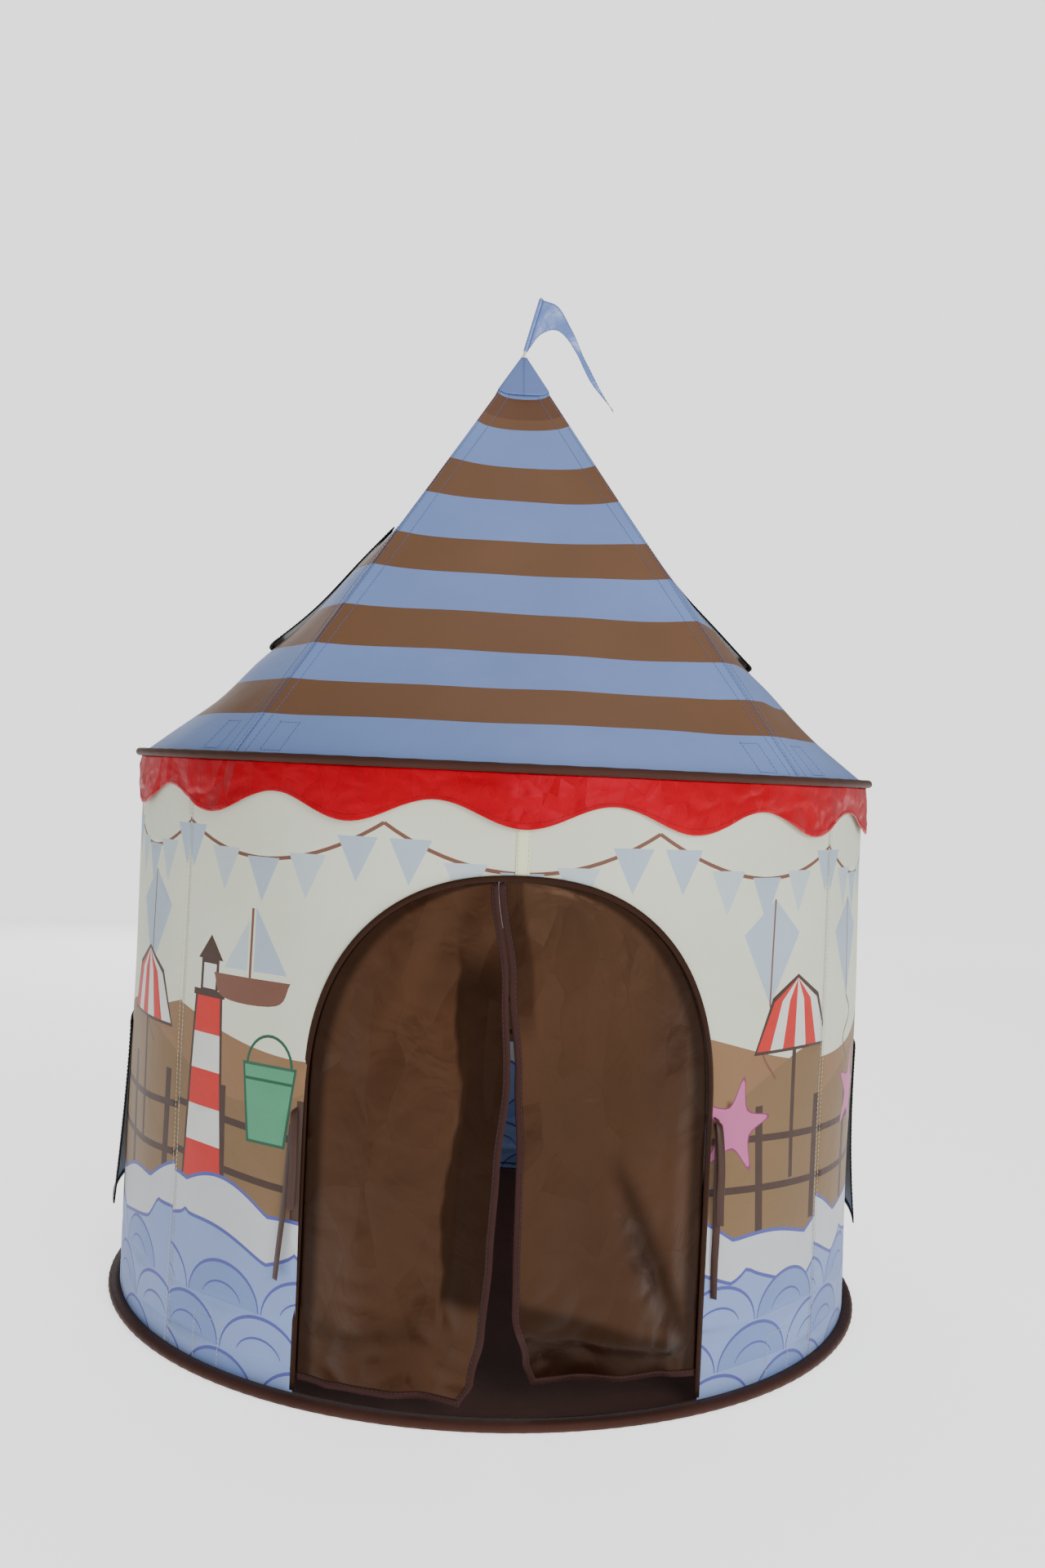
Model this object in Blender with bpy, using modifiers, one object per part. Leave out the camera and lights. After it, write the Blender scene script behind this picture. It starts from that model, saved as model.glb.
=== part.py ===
"""A child's round play tent with a striped roof, built piece by piece in metres.

The origin is the middle of the floor, +Z is up and the doorway faces -Y. An azimuth is measured
from the doorway towards +X. Every round piece follows one polygon of RING_FACETS sides, so that
nested pieces keep an even gap.
"""
import math

import bmesh
import bpy
from mathutils import Matrix, Vector

# Cloth and fits
CLOTH = 0.001
GAP = 0.0003
BINDING_THICKNESS = 0.0022
TRIM_GAP = 0.0008
CUT_OVERRUN = 0.05

# The polygon that the round pieces share; the roof's ridges and the openings lie on its corners
RING_FACETS = 60
WALL_SEAM_STEPS = 8.5
FRONT_HALF_STEPS = 7
SIDE_HALF_STEPS = RING_FACETS // 4 - FRONT_HALF_STEPS
STEP = math.tau / RING_FACETS
FRONT_HALF_ANGLE = FRONT_HALF_STEPS * STEP
SIDE_HALF_ANGLE = SIDE_HALF_STEPS * STEP

# Walls and roof
WALL_RADIUS = 0.5135
WALL_HEIGHT = 0.7358
WALL_ROWS = 4
ROOF_RISE = 0.6044
ROOF_ROUNDING_POWER = 1.4
ROOF_TOP_SHARE = 0.05
ROOF_ROWS = 8
RIDGE_MITRE_SHARE = 0.4
CAP_STAND_OFF = 0.0034
CAP_TOP_SHARE = 0.012
CAP_FOOT_SHARE = 0.098

# Hoops and their cloth sleeves
HOOP_ROD_RADIUS = 0.003
FERRULE_WALL = 0.0008
HEM_WIDTH = 0.0185
HEM_TURN_STEPS = 4
EAVE_TURN_STEPS = 7

# Poles, feet, elbows and hub
POLE_RADIUS = 0.0035
POLE_SIDES = 10
SOCKET_WALL = 0.0017
SOCKET_LENGTH = 0.034
SOCKET_FLOOR = 0.010
FOOT_WALL = 0.0037
FOOT_HEIGHT = 0.024
FOOT_FLOOR = 0.004
HUB_START = 0.008
HUB_SOCKET_LENGTH = 0.046
HUB_FLOOR = 0.014
HUB_CORE_RADIUS = 0.0092
HUB_CORE_TOP_DROP = 0.0075
HUB_CORE_FOOT_DROP = 0.026
HUB_CORE_SIDES = 14

# Doorway, flaps and trim
DOOR_HALF_WIDTH = 0.232
DOOR_SPRING_HEIGHT = 0.35
DOOR_TOP_HEIGHT = 0.611
DOOR_ROUNDING_POWER = 2.3
DOOR_CLEARANCE = 0.0014
FLAP_EDGE_GAP = 0.0025
LEFT_FLAP_FOOT = 0.027
RIGHT_FLAP_FOOT = 0.040
FLAP_BINDING_WIDTH = 0.008
FLAP_TOP_WIDTH = 0.004
FLAP_TOP_SHARE = 0.110
FLAP_COLUMNS = 11
FLAP_STRAIGHT_ROWS = 5
FLAP_ARCH_ROWS = 7
FLAP_FOLD_DEPTH = 0.0055
FLAP_FLARE = 0.010
FLAP_FOLD_SHARES = (0.33, 0.62, 0.9)
FLAP_FOLD_WIDTH_SHARE = 0.143
FLAP_CALM_SHARE = 0.25
PIPING_RADIUS = 0.0014
PIPING_OFFSET = 0.0036
PIPING_ARCH_STEPS = 22
TAPE_WIDTH = 0.016
TAPE_THICKNESS = 0.0008

# Where each flap's free edge hangs: share of the flap's height from its foot, then the place
# across as a share of the doorway's half width, from its middle towards +X
RIGHT_EDGE_SHARES = (
    (0.00, 0.150), (0.06, 0.105), (0.16, 0.040), (0.30, 0.033), (0.46, 0.030),
    (0.62, 0.006), (0.80, -0.038), (1.00, -FLAP_TOP_SHARE),
)
LEFT_EDGE_SHARES = (
    (0.00, -0.190), (0.045, -0.125), (0.14, -0.085), (0.28, -0.062), (0.46, -0.046),
    (0.62, -0.014), (0.80, -0.038), (1.00, -FLAP_TOP_SHARE),
)

# Scalloped valance
SCALLOP_COUNT = 16
SCALLOP_COLUMN_COUNT = 7
VALANCE_STAND_OFF = 0.003
VALANCE_MEAN_DROP = 0.0535
SCALLOP_DEPTH = 0.0145
VALANCE_FLARE = 0.0025
VALANCE_RIPPLE = 0.0016
VALANCE_ROWS = 2

# Side windows in the walls
WINDOW_HALF_STEPS = 2
WINDOW_LOW = 0.145
WINDOW_HIGH = 0.345
WINDOW_NET_OVERLAP = 0.013
WINDOW_FLAP_HALF_WIDTH = 0.131
WINDOW_FLAP_LOW = 0.120
WINDOW_FLAP_HIGH = 0.370
WINDOW_FLAP_STAND_OFF = 0.010
WINDOW_FLAP_BINDING = 0.010
WINDOW_FLAP_ROWS = 5

# Vents in the roof's side panels, as shares of the roof's run from tip to eave
VENT_HALF_STEPS = 3
VENT_TOP_SHARE = 0.49
VENT_FOOT_SHARE = 0.72
VENT_NET_MARGIN_SHARE = 0.015
VENT_FLAP_TOP_SHARE = 0.452
VENT_FLAP_FOOT_SHARE = 0.752
VENT_FLAP_HALF_ANGLE = math.radians(22)
VENT_NET_HALF_ANGLE = math.radians(20)
VENT_FLAP_STAND_OFF = 0.011
VENT_CORNER_LIFT = 0.002
VENT_BINDING_WIDTH = 0.009
VENT_FLAP_ROWS = 5

# Flag and its pole
FLAG_LEAN = math.radians(14.5)
FLAG_POLE_RADIUS = 0.0022
FLAG_POLE_SIDES = 10
FLAG_POLE_RISE = 0.089
FLAG_POLE_DEPTH = 0.030
FLAG_SOCKET_WALL = 0.0020
FLAG_SOCKET_LENGTH = 0.012
FLAG_SOCKET_DROP = 0.024
HOIST_LOW = 0.007
HOIST_LENGTH = 0.080
FLAG_LENGTH = 0.150
FLAG_WAVE = 0.007
FLAG_COLUMNS = 9
FLAG_ROWS = 4
FLAG_SLEEVE_STEPS = 8
FLAG_TIP_SHARE = 0.963
# The flag's upper and lower edges from hoist to tip, as shares of its length along X and Z
FLAG_UPPER_SHARES = (
    (0.0, 0.0), (0.16, -0.06), (0.30, -0.28), (0.46, -0.60), (0.60, -0.86), (0.77, -1.10),
)
FLAG_LOWER_SHARES = (
    (0.0, 0.0), (0.13, 0.18), (0.30, 0.22), (0.48, 0.02), (0.64, -0.28), (0.92, -0.57),
)

# Ribbons that tie the opened flaps: points down the middle of each, in metres
TIE_WIDTH = 0.009
TIE_THICKNESS = 0.0009
TIE_STEPS = 12
TIE_ROUTES = {
    "door_tie_left_long": (
        (-0.2440, -0.4527, 0.3320), (-0.2461, -0.4562, 0.3200), (-0.2478, -0.4586, 0.2950),
        (-0.2500, -0.4602, 0.2550), (-0.2528, -0.4608, 0.2150), (-0.2563, -0.4598, 0.1750),
        (-0.2590, -0.4582, 0.1400),
    ),
    "door_tie_left_short": (
        (-0.2437, -0.4521, 0.3380), (-0.2448, -0.4620, 0.3310), (-0.2440, -0.4668, 0.3080),
        (-0.2430, -0.4692, 0.2780), (-0.2432, -0.4696, 0.2480), (-0.2440, -0.4690, 0.2230),
    ),
    "door_tie_right_long": (
        (0.2440, -0.4527, 0.3320), (0.2458, -0.4562, 0.3200), (0.2462, -0.4592, 0.2900),
        (0.2466, -0.4604, 0.2500), (0.2474, -0.4608, 0.2100), (0.2470, -0.4610, 0.1700),
        (0.2478, -0.4606, 0.1300),
    ),
    "door_tie_right_short": (
        (0.2437, -0.4521, 0.3380), (0.2456, -0.4620, 0.3310), (0.2476, -0.4668, 0.3080),
        (0.2490, -0.4692, 0.2780), (0.2488, -0.4698, 0.2480), (0.2498, -0.4692, 0.2180),
    ),
}

# Turns of the strips about their own length, in degrees from top to foot
TIE_TWISTS = {
    "door_tie_left_long": 18.0,
    "door_tie_left_short": -14.0,
    "door_tie_right_long": 70.0,
    "door_tie_right_short": 35.0,
}

MERGE = 0.00001
UNIT = 1.0
CORNER_SHARE = 0.001
SHARP_ANGLE = math.radians(35)
ROOF_RADIUS = WALL_RADIUS - CLOTH
WALL_MIDDLE_RADIUS = WALL_RADIUS - CLOTH / 2
ROOF_FOOT_HEIGHT = WALL_HEIGHT + CLOTH / 2 + GAP
APEX_HEIGHT = ROOF_FOOT_HEIGHT + ROOF_RISE
FERRULE_RADIUS = HOOP_ROD_RADIUS + GAP + FERRULE_WALL
SLEEVE_RADIUS = (FERRULE_RADIUS + GAP + CLOTH / 2) / math.cos(math.pi / EAVE_TURN_STEPS)
SLEEVE_OUTER = SLEEVE_RADIUS + CLOTH / 2
EAVE_HOOP_RADIUS = WALL_RADIUS + GAP + SLEEVE_OUTER
HEM_HOOP_RADIUS = WALL_RADIUS + HEM_WIDTH - SLEEVE_OUTER
SOCKET_RADIUS = POLE_RADIUS + GAP + SOCKET_WALL
FOOT_RADIUS = POLE_RADIUS + GAP + FOOT_WALL
CORNERS = {
    "front_right": FRONT_HALF_ANGLE,
    "back_right": math.pi - FRONT_HALF_ANGLE,
    "back_left": math.pi + FRONT_HALF_ANGLE,
    "front_left": -FRONT_HALF_ANGLE,
}
PANELS = {
    "front": (0.0, FRONT_HALF_ANGLE),
    "right": (math.pi / 2, SIDE_HALF_ANGLE),
    "back": (math.pi, FRONT_HALF_ANGLE),
    "left": (-math.pi / 2, SIDE_HALF_ANGLE),
}
WALL_PANELS = {
    "front": (0.0, WALL_SEAM_STEPS * STEP),
    "right": (math.pi / 2, math.pi / 2 - WALL_SEAM_STEPS * STEP),
    "back": (math.pi, WALL_SEAM_STEPS * STEP),
    "left": (-math.pi / 2, math.pi / 2 - WALL_SEAM_STEPS * STEP),
}
SIDES = {"left": -1, "right": 1}


def srgb(hex_code):
    """Turn an sRGB hex colour into linear values with full alpha."""
    channels = [int(hex_code[i:i + 2], 16) / 255 for i in (1, 3, 5)]
    return [c / 12.92 if c <= 0.04045 else ((c + 0.055) / 1.055) ** 2.4 for c in channels] + [1.0]


def make_material(name, colour, roughness, metallic=0.0):
    """A Principled material with the colour, roughness and metallic value of the real one."""
    material = bpy.data.materials.new(name)
    material.use_nodes = True
    shader = material.node_tree.nodes["Principled BSDF"]
    shader.inputs["Base Color"].default_value = srgb(colour)
    shader.inputs["Roughness"].default_value = roughness
    shader.inputs["Metallic"].default_value = metallic
    material.diffuse_color = srgb(colour)
    return material


for old in list(bpy.data.objects):
    bpy.data.objects.remove(old)

tent = bpy.data.collections.new("kids_play_tent")
cutters = bpy.data.collections.new("cutters")
bpy.context.scene.collection.children.link(tent)
bpy.context.scene.collection.children.link(cutters)

MATERIALS = {
    "roof": make_material("striped_roof_cloth", "#7F93BD", 0.6),
    "wall": make_material("printed_wall_cloth", "#C9CDBA", 0.65),
    "door": make_material("brown_door_satin", "#553425", 0.4),
    "hem": make_material("brown_hem_cloth", "#5C423A", 0.6),
    "red": make_material("red_valance_satin", "#CC2023", 0.4),
    "binding": make_material("black_binding_tape", "#1E1818", 0.7),
    "mauve": make_material("mauve_brown_binding_tape", "#503E42", 0.6),
    "tape": make_material("pale_seam_tape", "#C4C9A4", 0.5),
    "net": make_material("pale_netting", "#D9DCDD", 0.8),
    "lining": make_material("pale_flap_lining", "#B9BCBE", 0.6),
    "flag": make_material("blue_flag_satin", "#7F93BD", 0.4),
    "ribbon": make_material("brown_ribbon", "#4B322A", 0.5),
    "rod": make_material("fibreglass_rod", "#D8D5C8", 0.35),
    "ferrule": make_material("steel_ferrule", "#B8BABC", 0.3, 1.0),
    "plastic": make_material("black_plastic_fitting", "#202022", 0.5),
}


def add_object(name, mesh, material, collection=tent):
    """Put a mesh in the scene as a named object with one material."""
    body = bpy.data.objects.new(name, mesh)
    collection.objects.link(body)
    if material:
        mesh.materials.append(MATERIALS[material])
    return body


def mesh_from(name, bm):
    """Close a bmesh into a smooth-shaded mesh with sharp edges kept."""
    mesh = bpy.data.meshes.new(name)
    bm.to_mesh(mesh)
    bm.free()
    mesh.shade_smooth()
    mesh.set_sharp_from_angle(angle=SHARP_ANGLE)
    return mesh


def pivot(name, place, turn=0.0):
    """An empty that carries pieces: on a joint's axis, or turned to a corner of the tent."""
    empty = bpy.data.objects.new(name, None)
    empty.location = place
    empty.rotation_euler.z = turn
    tent.objects.link(empty)
    return empty


def hang_on(body, empty):
    """Parent a piece whose mesh is already in tent coordinates to an unturned empty."""
    body.parent = empty
    body.matrix_parent_inverse = Matrix.Translation(-empty.location)


def as_guide(body):
    """Keep a cutter out of the renders and of the finished pieces."""
    body.hide_render = True
    body.display_type = "WIRE"
    return body


def combine(body, other, operation):
    """Cut or join one solid with another by an exact Boolean."""
    step = body.modifiers.new(operation.lower() + "_" + other.name, "BOOLEAN")
    step.operation = operation
    step.solver = "EXACT"
    step.object = other


def thicken(body, thickness):
    """Give an open sheet its thickness, half to each side."""
    wall = body.modifiers.new("thickness", "SOLIDIFY")
    wall.thickness = thickness
    wall.offset = 0.0


# Points on the round walls and on the roof


def facet_share(azimuth):
    """How far out the shared polygon lies at an azimuth, as a share of its corner radius."""
    from_middle = azimuth % STEP - STEP / 2
    return math.cos(STEP / 2) / math.cos(from_middle)


def ring_point(azimuth, radius, height):
    """A point on the shared polygon, scaled to a radius."""
    reach = radius * facet_share(azimuth)
    return Vector((reach * math.sin(azimuth), -reach * math.cos(azimuth), height))


def columns(low, high):
    """The azimuths of a piece's columns: its two edges and the polygon's corners between."""
    first = math.floor(low / STEP + CORNER_SHARE) + 1
    last = math.ceil(high / STEP - CORNER_SHARE) - 1
    return [low] + [k * STEP for k in range(first, last + 1)] + [high]


def nearest_panel(azimuth):
    """The middle azimuth and half angle of the panel that an azimuth lies on."""
    def off(panel):
        middle, half = panel
        return abs((azimuth - middle + math.pi) % math.tau - math.pi) / half
    return min(PANELS.values(), key=off)


def roof_radius(azimuth, run, panel=None):
    """Reach of the roof: four flat sides at the tip (run 0) that turn round at the eave (run 1)."""
    middle, half = panel or nearest_panel(azimuth)
    rounding = run ** ROOF_ROUNDING_POWER
    flat = math.cos(half) / math.cos(azimuth - middle)
    return ROOF_RADIUS * run * ((1 - rounding) * flat + rounding)


def polar(azimuth, radius, height):
    """A point from its azimuth, its distance from the upright axis and its height."""
    return Vector((radius * math.sin(azimuth), -radius * math.cos(azimuth), height))


ROOF_RUNS = [ROOF_TOP_SHARE + (1 - ROOF_TOP_SHARE) * i / ROOF_ROWS for i in range(ROOF_ROWS + 1)]
VENT_RUNS = [VENT_TOP_SHARE, (VENT_TOP_SHARE + VENT_FOOT_SHARE) / 2, VENT_FOOT_SHARE]


def bracket(value, stops):
    """The two neighbours of a value in a rising list, and the share of the way between them."""
    i = max(k for k in range(len(stops) - 1) if stops[k] <= value + MERGE or k == 0)
    return stops[i], stops[i + 1], (value - stops[i]) / (stops[i + 1] - stops[i])


def roof_point(azimuth, run, lift=0.0, panel=None):
    """A point on the faceted roof cloth, lifted along its outward normal."""
    left = math.floor(azimuth / STEP + CORNER_SHARE) * STEP
    across = (azimuth - left) / STEP
    low, high, along = bracket(run, ROOF_RUNS)
    panel = panel or nearest_panel(azimuth)

    def corner(turn, share):
        return polar(turn, roof_radius(turn, share, panel), APEX_HEIGHT - ROOF_RISE * share)

    upper = corner(left, low).lerp(corner(left + STEP, low), across)
    lower = corner(left, high).lerp(corner(left + STEP, high), across)
    slope = corner(azimuth, high) - corner(azimuth, low)
    side = corner(azimuth + STEP / 2, run) - corner(azimuth - STEP / 2, run)
    normal = slope.cross(side).normalized()
    return upper.lerp(lower, along) + normal * lift


# Building blocks


def sheet(name, across, along, point_at, thickness, material, keep=None, closed=False):
    """A cloth piece: a grid laid out by a formula, opened where asked, then given thickness."""
    bm = bmesh.new()
    wide, tall = len(across) - 1, len(along) - 1
    bmesh.ops.create_grid(bm, x_segments=wide, y_segments=tall, size=UNIT)
    places = {}
    for vertex in bm.verts:
        i = round((vertex.co.x + UNIT) / (2 * UNIT) * wide)
        j = round((vertex.co.y + UNIT) / (2 * UNIT) * tall)
        places[vertex] = (i, j)
    if keep:
        def cell(face):
            corners = [places[v] for v in face.verts]
            return min(c[0] for c in corners), min(c[1] for c in corners)
        gone = [face for face in bm.faces if not keep(*cell(face))]
        bmesh.ops.delete(bm, geom=gone, context="FACES")
    for vertex in bm.verts:
        i, j = places[vertex]
        vertex.co = point_at(across[i], along[j])
    if closed:
        bmesh.ops.remove_doubles(bm, verts=bm.verts[:], dist=MERGE)
    body = add_object(name, mesh_from(name, bm), material)
    thicken(body, thickness)
    return body


def shares(count):
    """Even shares from 0 to 1."""
    return [i / count for i in range(count + 1)]


def between(low, high, count):
    """Even stops from one value to another."""
    return [low + (high - low) * share for share in shares(count)]


def rod(name, start, end, radius, sides, material=None, collection=tent):
    """A round rod from one point to another."""
    run = end - start
    bm = bmesh.new()
    bmesh.ops.create_cone(
        bm, cap_ends=True, segments=sides, radius1=radius, radius2=radius, depth=run.length)
    turn = Vector((0, 0, 1)).rotation_difference(run).to_matrix().to_4x4()
    bmesh.ops.transform(bm, matrix=Matrix.Translation((start + end) / 2) @ turn, verts=bm.verts)
    return add_object(name, mesh_from(name, bm), material, collection)


def ball(name, place, radius, sides):
    """A ball that rounds the meeting of two sockets."""
    bm = bmesh.new()
    bmesh.ops.create_uvsphere(bm, u_segments=sides, v_segments=sides // 2, radius=radius)
    bmesh.ops.translate(bm, vec=place, verts=bm.verts)
    return add_object(name, mesh_from(name, bm), None, cutters)


def guide_rod(name, start, end, radius, sides, parent=None):
    """A rod that only cuts or joins."""
    tool = as_guide(rod(name, start, end, radius, sides, None, cutters))
    tool.parent = parent
    return tool


def wire(name, points, radius, material, capped=True):
    """A bent six-sided rod along points, or an open tube without its caps."""
    curve = bpy.data.curves.new(name, "CURVE")
    curve.dimensions = "3D"
    curve.bevel_depth = radius
    curve.bevel_resolution = 1
    curve.use_fill_caps = capped
    spline = curve.splines.new("POLY")
    spline.points.add(len(points) - 1)
    for point, place in zip(spline.points, points):
        point.co = (*place, 1.0)
    return add_object(name, curve, material)


def smooth_through(points, count):
    """Even samples of a smooth curve through a list of points."""
    ends = [points[0] * 2 - points[1]] + list(points) + [points[-1] * 2 - points[-2]]
    spans = len(points) - 1
    out = []
    for i in range(count + 1):
        place = i * spans / count
        k = min(int(place), spans - 1)
        t = place - k
        a, b, c, d = ends[k:k + 4]
        out.append((b * 2 + (c - a) * t + (a * 2 - b * 5 + c * 4 - d) * t ** 2
                    + (b * 3 - a - c * 3 + d) * t ** 3) / 2)
    return out


def read_table(table, value):
    """A smooth reading between the rows of a small table of shares."""
    k = max(i for i in range(len(table) - 1) if table[i][0] <= value or i == 0)
    (x0, y0), (x1, y1) = table[k], table[k + 1]
    t = min(max((value - x0) / (x1 - x0), 0), 1)
    return y0 + (y1 - y0) * t * t * (3 - 2 * t)


# Hoops, their ferrules and sleeves


def hoop_points(radius, height, low, high):
    """Points of a hoop's middle line between two azimuths."""
    return [ring_point(azimuth, radius, height) for azimuth in columns(low, high)]


def build_hoop(name, radius, height):
    """An open ring of rod whose two ends meet in a steel tube at the back."""
    half_gap = GAP / radius
    wire(name, hoop_points(radius, height, -math.pi + half_gap, math.pi - half_gap),
         HOOP_ROD_RADIUS, "rod")
    covered = hoop_points(radius, height, math.pi - STEP / 2, math.pi + STEP / 2)
    tube = wire(name + "_ferrule", covered, FERRULE_RADIUS - FERRULE_WALL / 2, "ferrule", False)
    thicken(tube, FERRULE_WALL)


def sleeve_arc(centre_radius, centre_height, half_turn, steps):
    """Reach and height of points round a sleeve's outer side, from its top down to its foot."""
    outline = []
    for turn in between(half_turn, -half_turn, steps):
        reach = centre_radius + SLEEVE_RADIUS * math.cos(turn)
        outline.append((reach, centre_height + SLEEVE_RADIUS * math.sin(turn)))
    return outline


def build_sleeve(name, outline, material):
    """A cloth sleeve turned round the tent, open along its seam."""
    profile = bmesh.new()
    corners = [profile.verts.new((reach, 0, height)) for reach, height in outline]
    for near, far in zip(corners, corners[1:]):
        profile.edges.new((near, far))
    body = add_object(name, mesh_from(name, profile), material)
    turn = body.modifiers.new("round_the_tent", "SCREW")
    turn.steps = RING_FACETS
    turn.render_steps = RING_FACETS
    turn.use_merge_vertices = True
    turn.merge_threshold = MERGE
    thicken(body, CLOTH)


def build_hoops():
    """The base and eave hoops with their sleeves."""
    slit = math.asin((CLOTH + GAP) / 2 / SLEEVE_RADIUS)
    build_hoop("eave_hoop", EAVE_HOOP_RADIUS, WALL_HEIGHT)
    round_hoop = sleeve_arc(EAVE_HOOP_RADIUS, WALL_HEIGHT, math.pi - slit, EAVE_TURN_STEPS)
    build_sleeve("eave_binding", round_hoop, "hem")
    build_hoop("base_hoop", HEM_HOOP_RADIUS, SLEEVE_OUTER)
    lip_reach = WALL_RADIUS + GAP
    outline = [(lip_reach, SLEEVE_OUTER + SLEEVE_RADIUS)]
    outline += sleeve_arc(HEM_HOOP_RADIUS, SLEEVE_OUTER, math.pi / 2, HEM_TURN_STEPS)
    outline.append((lip_reach, SLEEVE_OUTER - SLEEVE_RADIUS))
    build_sleeve("base_hem", outline, "hem")


# Frame


def ridge_lines():
    """The roof pole's axis in its corner's upright plane: where it starts, and its direction."""
    slant = math.atan2(ROOF_RADIUS, ROOF_RISE)
    inward = Vector((0, math.cos(slant), -math.sin(slant)))
    nearest = []
    for half in (FRONT_HALF_ANGLE, SIDE_HALF_ANGLE):
        flat_reach = ROOF_RADIUS * math.cos(half)
        normal = Vector((math.sin(half) * ROOF_RISE, -math.cos(half) * ROOF_RISE, flat_reach))
        nearest.append(abs(inward.dot(normal.normalized())))
    offset = (SOCKET_RADIUS + GAP + CLOTH / 2) / min(nearest)
    top = Vector((0, 0, APEX_HEIGHT - offset / math.sin(slant)))
    return top, Vector((0, -math.sin(slant), -math.cos(slant)))


def build_corner(name, azimuth, roof_top, roof_way):
    """One wall pole in its foot, joined to a roof pole by an elbow, all in one upright plane."""
    corner = pivot(name + "_corner", (0, 0, 0), azimuth)
    squeeze = math.cos(STEP / 2)
    elbow_reach = WALL_RADIUS - CLOTH - GAP - SOCKET_RADIUS / squeeze
    foot_reach = WALL_RADIUS - CLOTH - GAP - FOOT_RADIUS / squeeze
    elbow = roof_top + roof_way * (elbow_reach / -roof_way.y)
    foot = Vector((0, -foot_reach, CLOTH + GAP))
    down = (foot - elbow).normalized()

    base = rod("pole_foot_" + name, foot, foot - down * FOOT_HEIGHT, FOOT_RADIUS, POLE_SIDES, "plastic")
    wall_start = foot - down * FOOT_FLOOR
    foot_mouth = foot - down * (FOOT_HEIGHT + CUT_OVERRUN)
    combine(base, guide_rod("foot_bore_" + name, wall_start, foot_mouth,
                            POLE_RADIUS + GAP, POLE_SIDES, corner), "DIFFERENCE")
    lower_end = elbow + down * SOCKET_FLOOR
    upper_start = elbow - roof_way * SOCKET_FLOOR
    joint = rod("corner_elbow_" + name, elbow, elbow + down * SOCKET_LENGTH,
                SOCKET_RADIUS, POLE_SIDES, "plastic")
    knuckle = as_guide(ball("elbow_knuckle_" + name, elbow, SOCKET_RADIUS, POLE_SIDES))
    knuckle.parent = corner
    combine(joint, guide_rod("elbow_arm_" + name, elbow, elbow - roof_way * SOCKET_LENGTH,
                             SOCKET_RADIUS, POLE_SIDES, corner), "UNION")
    combine(joint, knuckle, "UNION")
    lower_mouth = elbow + down * (SOCKET_LENGTH + CUT_OVERRUN)
    combine(joint, guide_rod("elbow_lower_bore_" + name, lower_end, lower_mouth,
                             POLE_RADIUS + GAP, POLE_SIDES, corner), "DIFFERENCE")
    upper_mouth = elbow - roof_way * (SOCKET_LENGTH + CUT_OVERRUN)
    combine(joint, guide_rod("elbow_upper_bore_" + name, upper_start, upper_mouth,
                             POLE_RADIUS + GAP, POLE_SIDES, corner), "DIFFERENCE")
    wall_pole = rod("wall_pole_" + name, wall_start - down * GAP, lower_end + down * GAP,
                    POLE_RADIUS, POLE_SIDES, "rod")
    hub_end = roof_top + roof_way * (HUB_START + HUB_FLOOR + GAP)
    roof_pole = rod("roof_pole_" + name, upper_start - roof_way * GAP, hub_end,
                    POLE_RADIUS, POLE_SIDES, "rod")
    for body in (base, joint, wall_pole, roof_pole):
        body.parent = corner
    return corner


def build_hub(roof_top, roof_way, corners):
    """The plastic hub under the tip: four sockets for the roof poles and one for the flag pole."""
    up = Vector((0, 0, 1))
    hub = rod("apex_hub", roof_top - up * HUB_CORE_FOOT_DROP, roof_top - up * HUB_CORE_TOP_DROP,
              HUB_CORE_RADIUS, HUB_CORE_SIDES, "plastic")
    bores = []
    for name, corner in corners.items():
        arm = guide_rod("hub_arm_" + name, roof_top + roof_way * HUB_START,
                        roof_top + roof_way * (HUB_START + HUB_SOCKET_LENGTH),
                        SOCKET_RADIUS, POLE_SIDES, corner)
        combine(hub, arm, "UNION")
        bores.append(guide_rod("hub_bore_" + name, roof_top + roof_way * (HUB_START + HUB_FLOOR),
                               roof_top + roof_way * (HUB_START + HUB_SOCKET_LENGTH + CUT_OVERRUN),
                               POLE_RADIUS + GAP, POLE_SIDES, corner))
    tip, lean = flag_axis()
    socket_top = tip - lean * FLAG_SOCKET_DROP
    combine(hub, guide_rod("flag_boss", socket_top - lean * FLAG_SOCKET_LENGTH, socket_top,
                           FLAG_POLE_RADIUS + GAP + FLAG_SOCKET_WALL, FLAG_POLE_SIDES), "UNION")
    for bore in bores:
        combine(hub, bore, "DIFFERENCE")
    bore_floor = tip - lean * (FLAG_POLE_DEPTH + GAP)
    combine(hub, guide_rod("flag_bore", bore_floor, tip + lean * CUT_OVERRUN,
                           FLAG_POLE_RADIUS + GAP, FLAG_POLE_SIDES), "DIFFERENCE")


def flag_axis():
    """The flag pole's leaning axis, through the tip of the roof."""
    return Vector((0, 0, APEX_HEIGHT)), Vector((math.sin(FLAG_LEAN), 0, math.cos(FLAG_LEAN)))


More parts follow.
